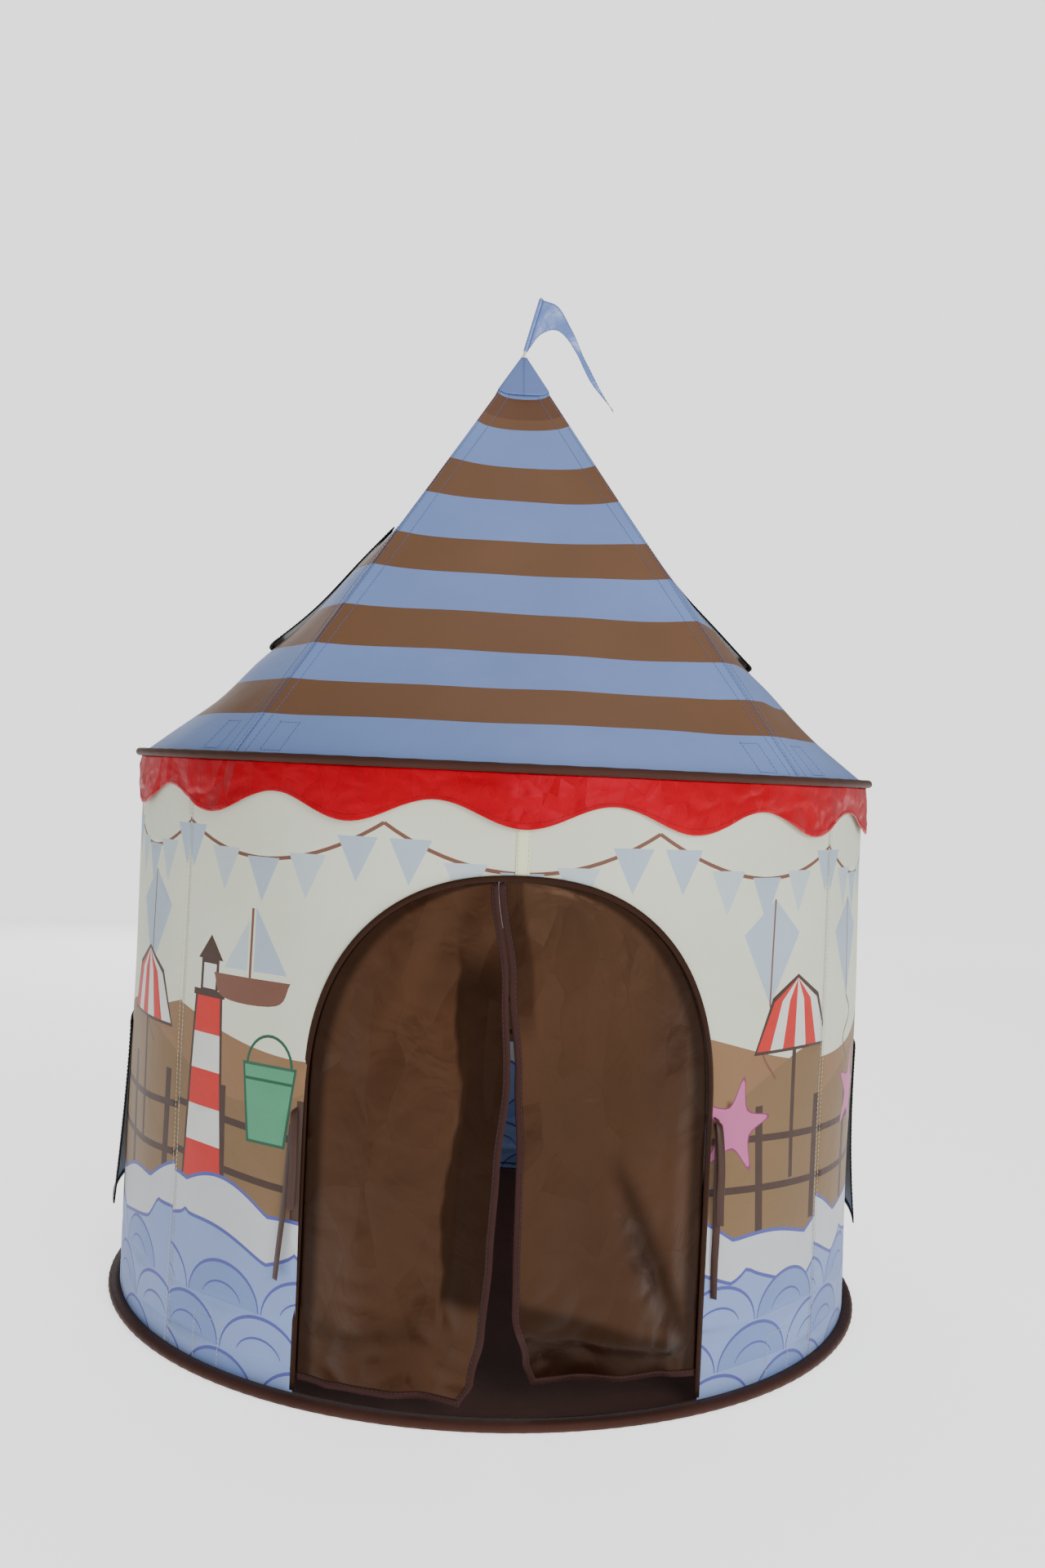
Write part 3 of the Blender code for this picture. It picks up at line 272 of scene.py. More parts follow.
    def _facets(
            self, tree: bpy.types.NodeTree, where: bpy.types.NodeSocket) -> bpy.types.NodeSocket:
        """The height of small flat facets with sharp edges, as crumpled satin has.

        Args:
            tree: The material's tree.
            where: Object coordinates.

        Returns:
            The height's socket.
        """
        bent = add_node(
            tree, "ShaderNodeTexNoise", inputs={"Scale": 9.0, "Detail": 1.0, "Vector": where})
        moved = add_node(
            tree, "ShaderNodeVectorMath", {"operation": "MULTIPLY_ADD"},
            {1: (0.05, 0.05, 0.05), 0: bent.outputs["Color"], 2: where})
        drawn = add_node(
            tree, "ShaderNodeMapping",
            inputs={"Rotation": (0, 0.4, 0), "Scale": (1, 1, 0.45), "Vector": moved.outputs[0]})
        cells = add_node(
            tree, "ShaderNodeTexVoronoi",
            inputs={"Scale": 1 / self.facet_size, "Vector": drawn.outputs[0]})
        off = add_node(
            tree, "ShaderNodeVectorMath", {"operation": "SUBTRACT"},
            {0: drawn.outputs[0], 1: cells.outputs["Position"]})
        way = add_node(
            tree, "ShaderNodeVectorMath", {"operation": "SUBTRACT"},
            {1: (0.5, 0.5, 0.5), 0: cells.outputs["Color"]})
        return add_node(
            tree, "ShaderNodeVectorMath", {"operation": "DOT_PRODUCT"},
            {0: off.outputs[0], 1: way.outputs[0]}).outputs["Value"]

    def _weave(self, tree: bpy.types.NodeTree) -> bpy.types.NodeSocket:
        """The height of threads that cross at right angles over the flat cloth.

        Args:
            tree: The material's tree.

        Returns:
            The height's socket.
        """
        flat = add_node(tree, "ShaderNodeUVMap", {"uv_map": "flat"})
        axes = add_node(tree, "ShaderNodeSeparateXYZ", inputs={0: flat.outputs[0]})
        waves = []
        for axis in (0, 1):
            scaled = add_node(
                tree, "ShaderNodeMath", {"operation": "MULTIPLY"},
                {1: math.tau / self.thread, 0: axes.outputs[axis]})
            waves.append(
                add_node(tree, "ShaderNodeMath", {"operation": "SINE"}, {0: scaled.outputs[0]}))
        return add_node(
            tree, "ShaderNodeMath", {"operation": "MULTIPLY"},
            {0: waves[0].outputs[0], 1: waves[1].outputs[0]}).outputs[0]


@dataclass(frozen=True)
class Solid:
    """A hard finish on Object coordinates: moulded plastic, drawn fibreglass or plated steel.

    Its grain is about 1 mm, where the real one is finer, so that it shows from nearby.
    """

    name: str
    colour: str
    roughness: float
    metallic: float = 0.0
    grain: float = 900.0
    grain_stretch: float = 1.0
    grain_depth: float = 0.0005
    wear_scale: float = 40.0
    wear_reach: tuple[float, float] = (-0.08, 0.12)

    def material(self) -> bpy.types.Material:
        """Build the material with its grain and wear.

        Returns:
            The material, made once and then found by its name.
        """
        found = bpy.data.materials.get(self.name)
        if found:
            return found
        material, tree, shader = new_material(self.name)
        where = add_node(tree, "ShaderNodeTexCoord")
        mapping = add_node(
            tree, "ShaderNodeMapping",
            inputs={"Scale": (1.0, 1.0, self.grain_stretch), "Vector": where.outputs["Object"]})
        grain = add_node(
            tree, "ShaderNodeTexNoise",
            inputs={"Scale": self.grain, "Detail": 3.0, "Vector": mapping.outputs[0]})
        wear = add_node(
            tree, "ShaderNodeTexNoise",
            inputs={"Scale": self.wear_scale, "Detail": 4.0, "Vector": where.outputs["Object"]})
        worn = add_node(
            tree, "ShaderNodeMapRange",
            inputs={
                "From Min": 0.35, "From Max": 0.75, "To Min": self.roughness + self.wear_reach[0],
                "To Max": self.roughness + self.wear_reach[1], "Value": wear.outputs[0]})
        tree.links.new(worn.outputs[0], shader.inputs["Roughness"])
        base = add_node(
            tree, "ShaderNodeMix", {"data_type": "RGBA", "blend_type": "MULTIPLY"},
            {0: 0.2, 6: linear(self.colour), 7: wear.outputs["Color"]})
        tree.links.new(base.outputs[2], shader.inputs["Base Color"])
        bump = add_node(
            tree, "ShaderNodeBump",
            inputs={"Strength": 0.4, "Distance": self.grain_depth, "Height": grain.outputs[0]})
        tree.links.new(bump.outputs[0], shader.inputs["Normal"])
        shader.inputs["Metallic"].default_value = self.metallic
        return material


ROOF_BLUE, ROOF_BROWN = "#728ABF", "#6C4B31"
# The first brown stripe is darker to run 0.172: painted shade of a doubled hub pocket inside.
STRIPES = (
    (0.118, "#61402B"), (0.172, ROOF_BROWN), (0.200, ROOF_BLUE), (0.304, ROOF_BROWN),
    (0.394, ROOF_BLUE), (0.493, ROOF_BROWN), (0.577, ROOF_BLUE), (0.671, ROOF_BROWN),
    (0.758, ROOF_BLUE), (0.837, ROOF_BROWN), (0.911, ROOF_BLUE))
# Thin plain-woven polyester, piece-dyed: matt and slightly uneven, with soft puckers. It is the
# roof's stripes, the plain cap and the wall, which is printed.
ROOF_CLOTH = Cloth("polyester_taffeta_striped", ROOF_BLUE, "#E2E2E6", Dye.STRIPED, stripes=STRIPES)
CAP_CLOTH = Cloth("polyester_taffeta_blue", "#6479B0", "#DCDCE0")
WALL_CLOTH = Cloth("polyester_taffeta_printed", "#C9CDBA", "#E6E6E2", Dye.PRINTED)
# Crumpled satin with light behind it: sharp facets that flash copper, and near black where the
# cloth lies double; the same near black is painted shade in its folds and along its foot.
# Facets are 45 mm, as the largest creases are.
DOOR_SATIN = Cloth(
    "polyester_satin_brown", "#331B0F", "#94867E", roughness=0.36, sheen=0.0, specular=0.7,
    tint="#C49C7C", crease_scale=14.0, crease_height=0.006, patchiness=0.8, facet_size=0.045,
    facet_slope=0.24, doubled_and_painted_shade="#150A06")
# Bright satin frill: a strong red whose 20 mm crumples catch pinkish light.
RED_SATIN = Cloth(
    "polyester_satin_red", "#AA0217", "#C08C8C", roughness=0.34, sheen=0.0, specular=0.5,
    tint="#D64860", crease_scale=24.0, crease_height=0.003, facet_size=0.02, facet_slope=0.28)
# Heavier basket-woven polyester: dark and matt, with the coarsest thread, 1.8 mm for a real 0.4 mm.
HEM_CLOTH = Cloth(
    "polyester_oxford_brown", "#402720", "#C4BEBA", thread=0.0018, roughness=0.66, tint="#B8A49C")
# Ribbed binding tapes: a dull edge that frames the cloth. Ribs are 1.2 mm for a real 0.5 mm.
MAUVE_TAPE = Cloth(
    "grosgrain_tape_mauve_brown", "#301C1A", "#D0CCCC", thread=0.0012, tint="#D0A8A0")
BLACK_TAPE = Cloth(
    "grosgrain_tape_black", "#151111", "#D8D8D8", thread=0.0012, roughness=0.75, specular=0.2)
# Satin over a thin cord: a fine dark line that holds a soft highlight.
PIPING = Cloth(
    "satin_piping_dark_brown", "#2A1810", "#D8D8D8", thread=0.001, roughness=0.6, tint="#B09080")
# Woven tape over the middle seam: pale and a little shiny against the print.
PALE_TAPE = Cloth("woven_seam_tape_pale", "#D8DDB8", "#E0E0DC", thread=0.0012, roughness=0.4)
# Plain undyed lining: the flaps' pale grey inner side.
LINING = Cloth("polyester_lining_pale", "#B4B7B9", "#E4E4E4")
# Smooth flag satin: broad soft highlights along its waves.
FLAG_SATIN = Cloth(
    "polyester_satin_blue", "#6A82BC", "#CCD0DC", roughness=0.3, sheen=0.0, specular=0.6,
    thread=0.0012, thread_height=0.00001, crease_height=0.004)
# Narrow satin ribbon: brown, a little lighter than the flaps.
RIBBON = Cloth("satin_ribbon_brown", "#3C231A", "#CCC4C0", thread=0.001, roughness=0.45)
# Knitted polyester net: a pale see-through grid. Its 4 mm mesh is drawn for a real 1 mm.
NETTING = Cloth("knitted_netting_pale", "#D9DCDD", "#ECECEC", thread=0.0008, roughness=0.8)
# Spun polyester thread: matt dashes in or near the cloth's own colour. It is 0.8 mm thick for a
# real 0.25 mm, and its twist is 0.6 mm.
THREAD = Cloth("sewing_thread_beige", "#B4B4A2", "#D8D8D0", thread=0.0006)
DARK_THREAD = Cloth("sewing_thread_brown", "#3A2A26", "#D8D8D0", thread=0.0006)
BLUE_THREAD = Cloth("sewing_thread_blue", "#54689C", "#D8D8D0", thread=0.0006)
RED_THREAD = Cloth("sewing_thread_red", "#8E080C", "#D8D0D0", thread=0.0006)
# Pultruded fibreglass: an off-white rod with fine lengthwise streaks.
FIBREGLASS = Solid("pultruded_fibreglass_rod", "#D8D5C8", 0.38, grain=1500.0, grain_stretch=0.03)
# Zinc-plated steel tube: bright, with soft wear marks.
STEEL = Solid("zinc_plated_steel_tube", "#B8BABC", 0.3, 1.0, grain=1200.0)
# Moulded polypropylene: satin black with a fine mould texture.
PLASTIC = Solid("moulded_polypropylene_black", "#202022", 0.5)


# Forms shared by the pieces


@dataclass(frozen=True)
class Panel:
    """One of the four cloths that a wall or a roof is sewn from."""

    name: str
    middle: float
    half: float

    @property
    def width(self) -> float:
        """The cloth's width along the wall."""
        return 2 * self.half * WALL_CENTRE_RADIUS


def four_panels(front_degrees: float) -> dict[str, Panel]:
    """Front, right, back and left panels whose seams lie at a number of degrees beside the doorway.

    Args:
        front_degrees: The front seams' azimuth in degrees.

    Returns:
        The panels by name.
    """
    front = math.radians(front_degrees)
    side = math.pi / 2 - front
    return {
        "front": Panel("front", 0.0, front), "right": Panel("right", math.pi / 2, side),
        "back": Panel("back", math.pi, front), "left": Panel("left", -math.pi / 2, side)}


ROOF_PANELS = four_panels(42.0)
WALL_PANELS = four_panels(51.0)
SIDES = {"left": -1, "right": 1}


def ripple(points: Array, seed: int, size: float, upright: float = 1.0) -> Array:
    """Smooth waves of about one size through space, the same on each run.

    Args:
        points: Places, with x, y and z last.
        seed: Which waves.
        size: The waves' length.
        upright: How far they are drawn out along Z.

    Returns:
        A height for each place, mostly within one of nought.
    """
    chance = np.random.default_rng(seed)
    ways = chance.normal(size=(9, 3))
    ways /= np.linalg.norm(ways, axis=1)[:, None]
    ways[:, 2] /= upright
    ways *= math.tau / (size * chance.uniform(0.7, 1.6, 9))[:, None]
    return np.sin(points @ ways.T + chance.uniform(0, math.tau, 9)).sum(-1) / 3


def polar(azimuth: Array, reach: Array, height: Array) -> Array:
    """Points from azimuths, distances from the upright axis and heights."""
    parts = (reach * np.sin(azimuth), -reach * np.cos(azimuth), height)
    return np.stack(np.broadcast_arrays(*parts), axis=-1)


def slope(value: Array) -> Array:
    """A smooth step from nought to one."""
    t = np.clip(value, 0, 1)
    return t * t * (3 - 2 * t)


@dataclass(frozen=True)
class TentForm:
    """The round wall and the four-sided roof that every cloth follows."""

    wall_foot_radius: float = 0.5165
    wall_top_radius: float = 0.5129
    wall_height: float = 0.7358
    wall_ripple: float = 0.0024
    roof_radius: float = 0.5126
    roof_rise: float = 0.6044
    apex_height: float = 1.3410
    rounding_power: float = 1.4
    roof_ripple: float = 0.0016
    roof_sag: float = 0.010
    vent_stretch: Flat = (0.34, 0.88)
    stretch_fade: float = 0.10

    def wall(self, azimuth: Array, height: Array, lift: Any = 0.0) -> Array:
        """Points on the wall's outer side.

        Args:
            azimuth: Azimuths.
            height: Heights.
            lift: How far off the cloth.

        Returns:
            The points.
        """
        share = np.clip(height / self.wall_height, 0, 1)
        bare = polar(azimuth, np.full_like(azimuth + share, WALL_CENTRE_RADIUS), height)
        front = np.clip(1.3 + 2.0 * np.cos(azimuth), 0.25, 1)
        wave = ripple(bare, 4, 0.16, 3.0) * self.wall_ripple * front * np.sin(math.pi * share)
        reach = self.wall_foot_radius + (self.wall_top_radius - self.wall_foot_radius) * share
        return polar(azimuth, reach + wave + lift, height)

    def roof_reach(self, azimuth: Array, run: Array, panel: Panel) -> Array:
        """The roof's reach from the upright axis, four-sided at the tip and round at the eave."""
        rounding = run ** self.rounding_power
        flat = math.cos(panel.half) / np.cos(azimuth - panel.middle)
        return self.roof_radius * run * ((1 - rounding) * flat + rounding)

    def roof(
            self, azimuth: Array, run: Array, lift: Any = 0.0, panel: Panel | None = None) -> Array:
        """Points on a roof panel's outer side, lifted square to the cloth.

        Args:
            azimuth: Azimuths.
            run: Shares of the way from the tip to the eave.
            lift: How far off the cloth.
            panel: The panel.

        Returns:
            The points.
        """
        step = 0.002

        def bare(turn: Array, share: Array) -> Array:
            """The cloth before it sags and ripples."""
            height = self.apex_height - self.roof_rise * share
            return polar(turn, self.roof_reach(turn, share, panel), height)

        azimuth, run = np.broadcast_arrays(azimuth, run)
        point = bare(azimuth, run)
        down = bare(azimuth, run + step) - bare(azimuth, run - step)
        side = bare(azimuth + step, run) - bare(azimuth - step, run)
        normal = np.cross(down, side)
        normal /= np.linalg.norm(normal, axis=-1)[..., None]
        across = np.clip(1 - ((azimuth - panel.middle) / panel.half) ** 2, 0, 1)
        calm = np.clip(across * 4, 0, 1) * np.clip((1 - run) * 8, 0, 1)
        sag = self.roof_sag * across * np.sin(math.pi * run)
        if panel.name in SIDES:
            low, high = self.vent_stretch
            above, below = (run - low) / self.stretch_fade, (high - run) / self.stretch_fade
            sag = sag * (1 - slope(above) * slope(below))
        drop = ripple(point, 9, 0.14) * self.roof_ripple * calm - sag
        return point + normal * (drop + lift)[..., None]


FORM = TentForm()


# Pieces of cloth


def spaced(stops: Sequence[float], spacing: float) -> Array:
    """Rising stops filled in so that neighbours are no further apart than a spacing."""
    parts = [
        np.linspace(a, b, max(1, math.ceil((b - a) / spacing)) + 1)[:-1]
        for a, b in zip(stops, stops[1:])]
    return np.concatenate([*parts, [stops[-1]]])


def link(name: str, mesh: bpy.types.Mesh) -> bpy.types.Object:
    """Put a mesh in the scene as an object at the origin."""
    piece = bpy.data.objects.new(name, mesh)
    bpy.context.scene.collection.objects.link(piece)
    return piece


def freeze(piece: bpy.types.Object) -> bpy.types.Object:
    """Turn a piece's modifiers into plain mesh.

    Args:
        piece: The piece.

    Returns:
        The piece as plain mesh.
    """
    graph = bpy.context.evaluated_depsgraph_get()
    mesh = bpy.data.meshes.new_from_object(piece.evaluated_get(graph))
    piece.modifiers.clear()
    piece.data = mesh
    return piece


def mesh_of(
        name: str, points: Array, faces: Array | list, flat: Array, outward: bool = True
) -> bpy.types.Mesh:
    """A smooth mesh with its flat cut as a UV map in metres.

    Args:
        name: The mesh's name.
        points: The corners' places.
        faces: Corner numbers, face by face.
        flat: Each corner's place on the flat cloth.
        outward: Whether faces are turned away from the tent's axis.

    Returns:
        The mesh.
    """
    mesh = bpy.data.meshes.new(name)
    faces = [list(map(int, face)) for face in faces]
    if outward:
        corners = np.array([face[:3] for face in faces])
        a, b, c = (points[corners[:, k]] for k in range(3))
        centre = (a + b + c) / 3 - np.array((0, 0, 0.5))
        if (np.cross(b - a, c - a) * centre).sum() < 0:
            faces = [face[::-1] for face in faces]
    mesh.from_pydata(points.tolist(), [], faces)
    mesh.shade_smooth()
    corner = np.zeros(len(mesh.loops), np.int32)
    mesh.loops.foreach_get("vertex_index", corner)
    mesh.uv_layers.new(name="flat").data.foreach_set("uv", flat[corner].astype(np.float32).ravel())
    return mesh


def thicken(piece: bpy.types.Object, lined: bool = False) -> bpy.types.Object:
    """Give a sheet its thickness, with the second material on its inner side where it is lined.

    Args:
        piece: The sheet.
        lined: Whether its second material is a lining's.

    Returns:
        The piece as plain mesh.
    """
    wall = piece.modifiers.new("thickness", "SOLIDIFY")
    wall.thickness = CLOTH
    wall.offset = 0.0
    if lined:
        wall.material_offset = 1
    return freeze(piece)


def cloth_grid(
        name: str, across: Array, along: Array, place: Place, flat: Place, cloths: Sequence[Cloth],
        hole: tuple[float, float, float, float] | None = None, run: bool = False,
        round_tent: bool = False, layers: Callable[[Array, Array], Array] | None = None
) -> bpy.types.Object:
    """A cloth laid out by formulas over a net of stops.

    Args:
        name: The piece's name.
        across: Stops across, such as azimuths.
        along: Stops along, such as heights.
        place: Points from both stops.
        flat: Places on the flat cloth from both stops.
        cloths: The outer cloth, and the inner one where it is lined.
        hole: Low and high stops across and along of an opening.
        run: Whether the second stop is kept as the attribute that stripes follow.
        round_tent: Whether the last column meets the first.
        layers: Share of double cloth and of painted shade, from nought to one.

    Returns:
        The piece as plain mesh.
    """
    grid_u, grid_v = np.meshgrid(across, along)
    points, cut = place(grid_u, grid_v).reshape(-1, 3), flat(grid_u, grid_v).reshape(-1, 2)
    wide, tall = len(across), len(along)
    i, j = np.meshgrid(np.arange(wide - 1), np.arange(tall - 1))
    if hole:
        u, v = (across[i] + across[i + 1]) / 2, (along[j] + along[j + 1]) / 2
        kept = ~((u > hole[0]) & (u < hole[1]) & (v > hole[2]) & (v < hole[3]))
        i, j = i[kept], j[kept]
    first = (j * wide + i).ravel()
    faces = np.stack([first, first + 1, first + wide + 1, first + wide], axis=1)
    mesh = mesh_of(name, points, faces, cut)
    if run:
        aside = np.abs(grid_u - (across[0] + across[-1]) / 2) / ROOF_PANELS["front"].half
        values = grid_v + STRIPE_RISE * np.clip(aside, 0, 1) ** 5 * (1 - grid_v)
        mesh.attributes.new("run", "FLOAT", "POINT").data.foreach_set(
            "value", values.ravel().astype(np.float32))
    # Keep the share of double cloth and painted shade for the material to darken.
    if layers:
        values = layers(grid_u, grid_v).ravel().astype(np.float32)
        mesh.attributes.new("layers", "FLOAT", "POINT").data.foreach_set("value", values)
    if round_tent:
        rework(mesh, join_corners, drop_loose)
    for cloth in cloths:
        mesh.materials.append(cloth.material())
    return thicken(link(name, mesh), len(cloths) > 1)


def rework(mesh: bpy.types.Mesh, *steps: Callable[[bmesh.types.BMesh], Any]) -> None:
    """Run steps of mesh editing on a mesh in place.

    Args:
        mesh: The mesh.
        steps: The steps, in order.
    """
    shell = bmesh.new()
    shell.from_mesh(mesh)
    for step in steps:
        step(shell)
    shell.to_mesh(mesh)
    shell.free()


def join_corners(shell: bmesh.types.BMesh) -> None:
    """Merge corners that lie on each other."""
    bmesh.ops.remove_doubles(shell, verts=shell.verts[:], dist=0.00001)


def drop_loose(shell: bmesh.types.BMesh) -> None:
    """Drop corners that no face uses."""
    bmesh.ops.delete(shell, geom=[v for v in shell.verts if not v.link_faces], context="VERTS")


def turn_out(shell: bmesh.types.BMesh) -> None:
    """Turn a closed mesh's faces outwards."""
    bmesh.ops.recalc_face_normals(shell, faces=shell.faces[:])


def swept(
        name: str, path: Array, inward: Array, section: Section, place: Lifted, cloth: Cloth,
        closed: bool = False) -> bpy.types.Object:
    """A closed section carried along a line on a cloth, such as a bound edge or piping.

    Args:
        name: The piece's name.
        path: The line on the cloth's own two stops.
        inward: Stops per metre towards the cloth's middle at each point of the line.
        section: Inset and lift of each corner of the section, in metres.
        place: Points from both stops and a lift.
        cloth: The tape.
        closed: Whether the line meets itself.

    Returns:
        The piece.
    """
    count, sides = len(path), len(section)
    rows = []
    for inset, lift in section:
        u, v = (path + inward * inset).T
        rows.append(place(u, v, lift))
    points = np.stack(rows, axis=1).reshape(-1, 3)
    lengths = np.linalg.norm(np.diff(points.reshape(count, sides, 3)[:, 0], axis=0), axis=1)
    along = np.concatenate([[0], np.cumsum(lengths)])
    about = np.linalg.norm(np.diff(np.array(section), axis=0), axis=1)
    about = np.concatenate([[0], np.cumsum(about)])
    flat = np.stack(np.meshgrid(along, about, indexing="ij"), axis=-1).reshape(-1, 2)
    faces = []
    for k in range(count if closed else count - 1):
        for s in range(sides):
            near, far = k * sides, (k + 1) % count * sides
            faces.append([near + s, near + (s + 1) % sides, far + (s + 1) % sides, far + s])
    if not closed:
        faces.append(list(range(sides))[::-1])
        faces.append([(count - 1) * sides + s for s in range(sides)])
    mesh = mesh_of(name, points, faces, flat, outward=False)
    rework(mesh, turn_out)
    mesh.materials.append(cloth.material())
    return link(name, mesh)


def tape_section(width: float, thickness: float) -> Section:
    """The section of a tape folded over an edge, rounded at its fold."""
    half = thickness / 2
    upper = [(-0.0003, half * 0.4), (0.0005, half), (width * 0.5, half), (width, half * 0.8)]
    return upper + [(inset, -lift) for inset, lift in reversed(upper)]


def rectangle(low: Flat, high: Flat, steps: Flat) -> list[Flat]:
    """A rectangle's outline with close points.

    Args:
        low: Lowest stops across and along.
        high: Highest stops across and along.
        steps: Spacing across and along.

    Returns:
        The points, anticlockwise from the lowest corner.
    """
    across, along = spaced([low[0], high[0]], steps[0]), spaced([low[1], high[1]], steps[1])
    ring = [(u, low[1]) for u in across] + [(high[0], v) for v in along[1:]]
    return ring + [
        (u, high[1]) for u in across[::-1][1:]] + [(low[0], v) for v in along[::-1][1:-1]]


def framed_line(
        low: Flat, high: Flat, steps: Flat, per_metre: Flat = (1.0, 1.0)) -> tuple[Array, Array]:
    """A rectangle's outline on two stops, with its inward way.

    Args:
        low: Lowest stops across and along.
        high: Highest stops across and along.
        steps: Spacing across and along.
        per_metre: Stops per metre across and along.

    Returns:
        The outline's points and the inward stops per metre, mitred at the corners.
    """
    points = np.array(rectangle(low, high, steps))
    inward = ((points == low) * 1.0 - (points == high) * 1.0) * per_metre
    return points, inward


def declare_sheet(
        piece: bpy.types.Object) -> None:
    """Read a cloth's triangles on its flat UV map, and keep nothing of them.

    Args:
        piece: The cloth.
    """
    mesh = piece.data
    mesh.calc_loop_triangles()
    corners = np.zeros(len(mesh.loop_triangles) * 3, np.int32)
    mesh.loop_triangles.foreach_get("loops", corners)
    cut = np.zeros(len(mesh.loops) * 2, np.float32)
    mesh.uv_layers["flat"].data.foreach_get("uv", cut)
    cut = cut.reshape(-1, 2).astype(float)
    a, b, c = cut[corners.reshape(-1, 3)].transpose(1, 0, 2)


def settle(
        piece: bpy.types.Object, body: str, nodes: Sequence[str] = (),
        line: tuple[Vector, Vector] | None = None) -> None:
    """Make a finished piece ride on a body in place of CAD nodes, or fix it where it stands.

    Args:
        piece: The piece.
        body: The CAD body that the piece follows where no line is given.
        nodes: The CAD nodes that it stands for.
        line: A sewn-on flap's bend line, start and end; given one, the piece stays fixed.
    """
    if line:
        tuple(line[0])
        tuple(line[1])
        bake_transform(piece)
    else:
        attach(piece, body)
    if nodes:
        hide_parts(*nodes)
    LOG.info("%s moves with %s, %d faces", piece.name, body, len(piece.data.polygons))


# Sewing: stitches and netting made by Geometry Nodes


def node_tree(
        name: str, inputs: dict[str, str]
) -> tuple[bpy.types.NodeTree, bpy.types.Node, bpy.types.Node]:
    """An empty Geometry Nodes tree with named inputs, and its two end nodes.

    Args:
        name: The tree's name.
        inputs: Socket types by input name.

    Returns:
        The tree, its input node and its output node.
    """
    tree = bpy.data.node_groups.new(name, "GeometryNodeTree")
    tree.interface.new_socket("Geometry", in_out="INPUT", socket_type="NodeSocketGeometry")
    for label, kind in inputs.items():
        tree.interface.new_socket(label, in_out="INPUT", socket_type=kind)
    tree.interface.new_socket("Geometry", in_out="OUTPUT", socket_type="NodeSocketGeometry")
    return tree, tree.nodes.new("NodeGroupInput"), tree.nodes.new("NodeGroupOutput")


def end_tree(
        tree: bpy.types.NodeTree, end: bpy.types.Node, form: bpy.types.NodeSocket,
        finish: bpy.types.NodeSocket) -> bpy.types.NodeTree:
    """End a tree in Realize Instances and Set Material.

    Args:
        tree: The tree.
        end: Its output node.
        form: The geometry so far.
        finish: The input that holds the material.

    Returns:
        The tree.
    """
    real = add_node(tree, "GeometryNodeRealizeInstances", inputs={"Geometry": form})
    dyed = add_node(
        tree, "GeometryNodeSetMaterial", inputs={"Geometry": real.outputs[0], "Material": finish})
    tree.links.new(dyed.outputs[0], end.inputs["Geometry"])
    return tree


def apply_tree(
        piece: bpy.types.Object, tree: bpy.types.NodeTree, values: dict[str, Any]
) -> bpy.types.Object:
    """Run a tree on a piece with its inputs set, and keep the result as plain mesh.

    Args:
        piece: The piece.
        tree: The tree.
        values: Values by input name.

    Returns:
        The piece as plain mesh.
    """
    run = piece.modifiers.new(tree.name, "NODES")
    run.node_group = tree
    for item in tree.interface.items_tree:
        if item.in_out == "INPUT" and item.name in values:
            run[item.identifier] = values[item.name]
    return freeze(piece)


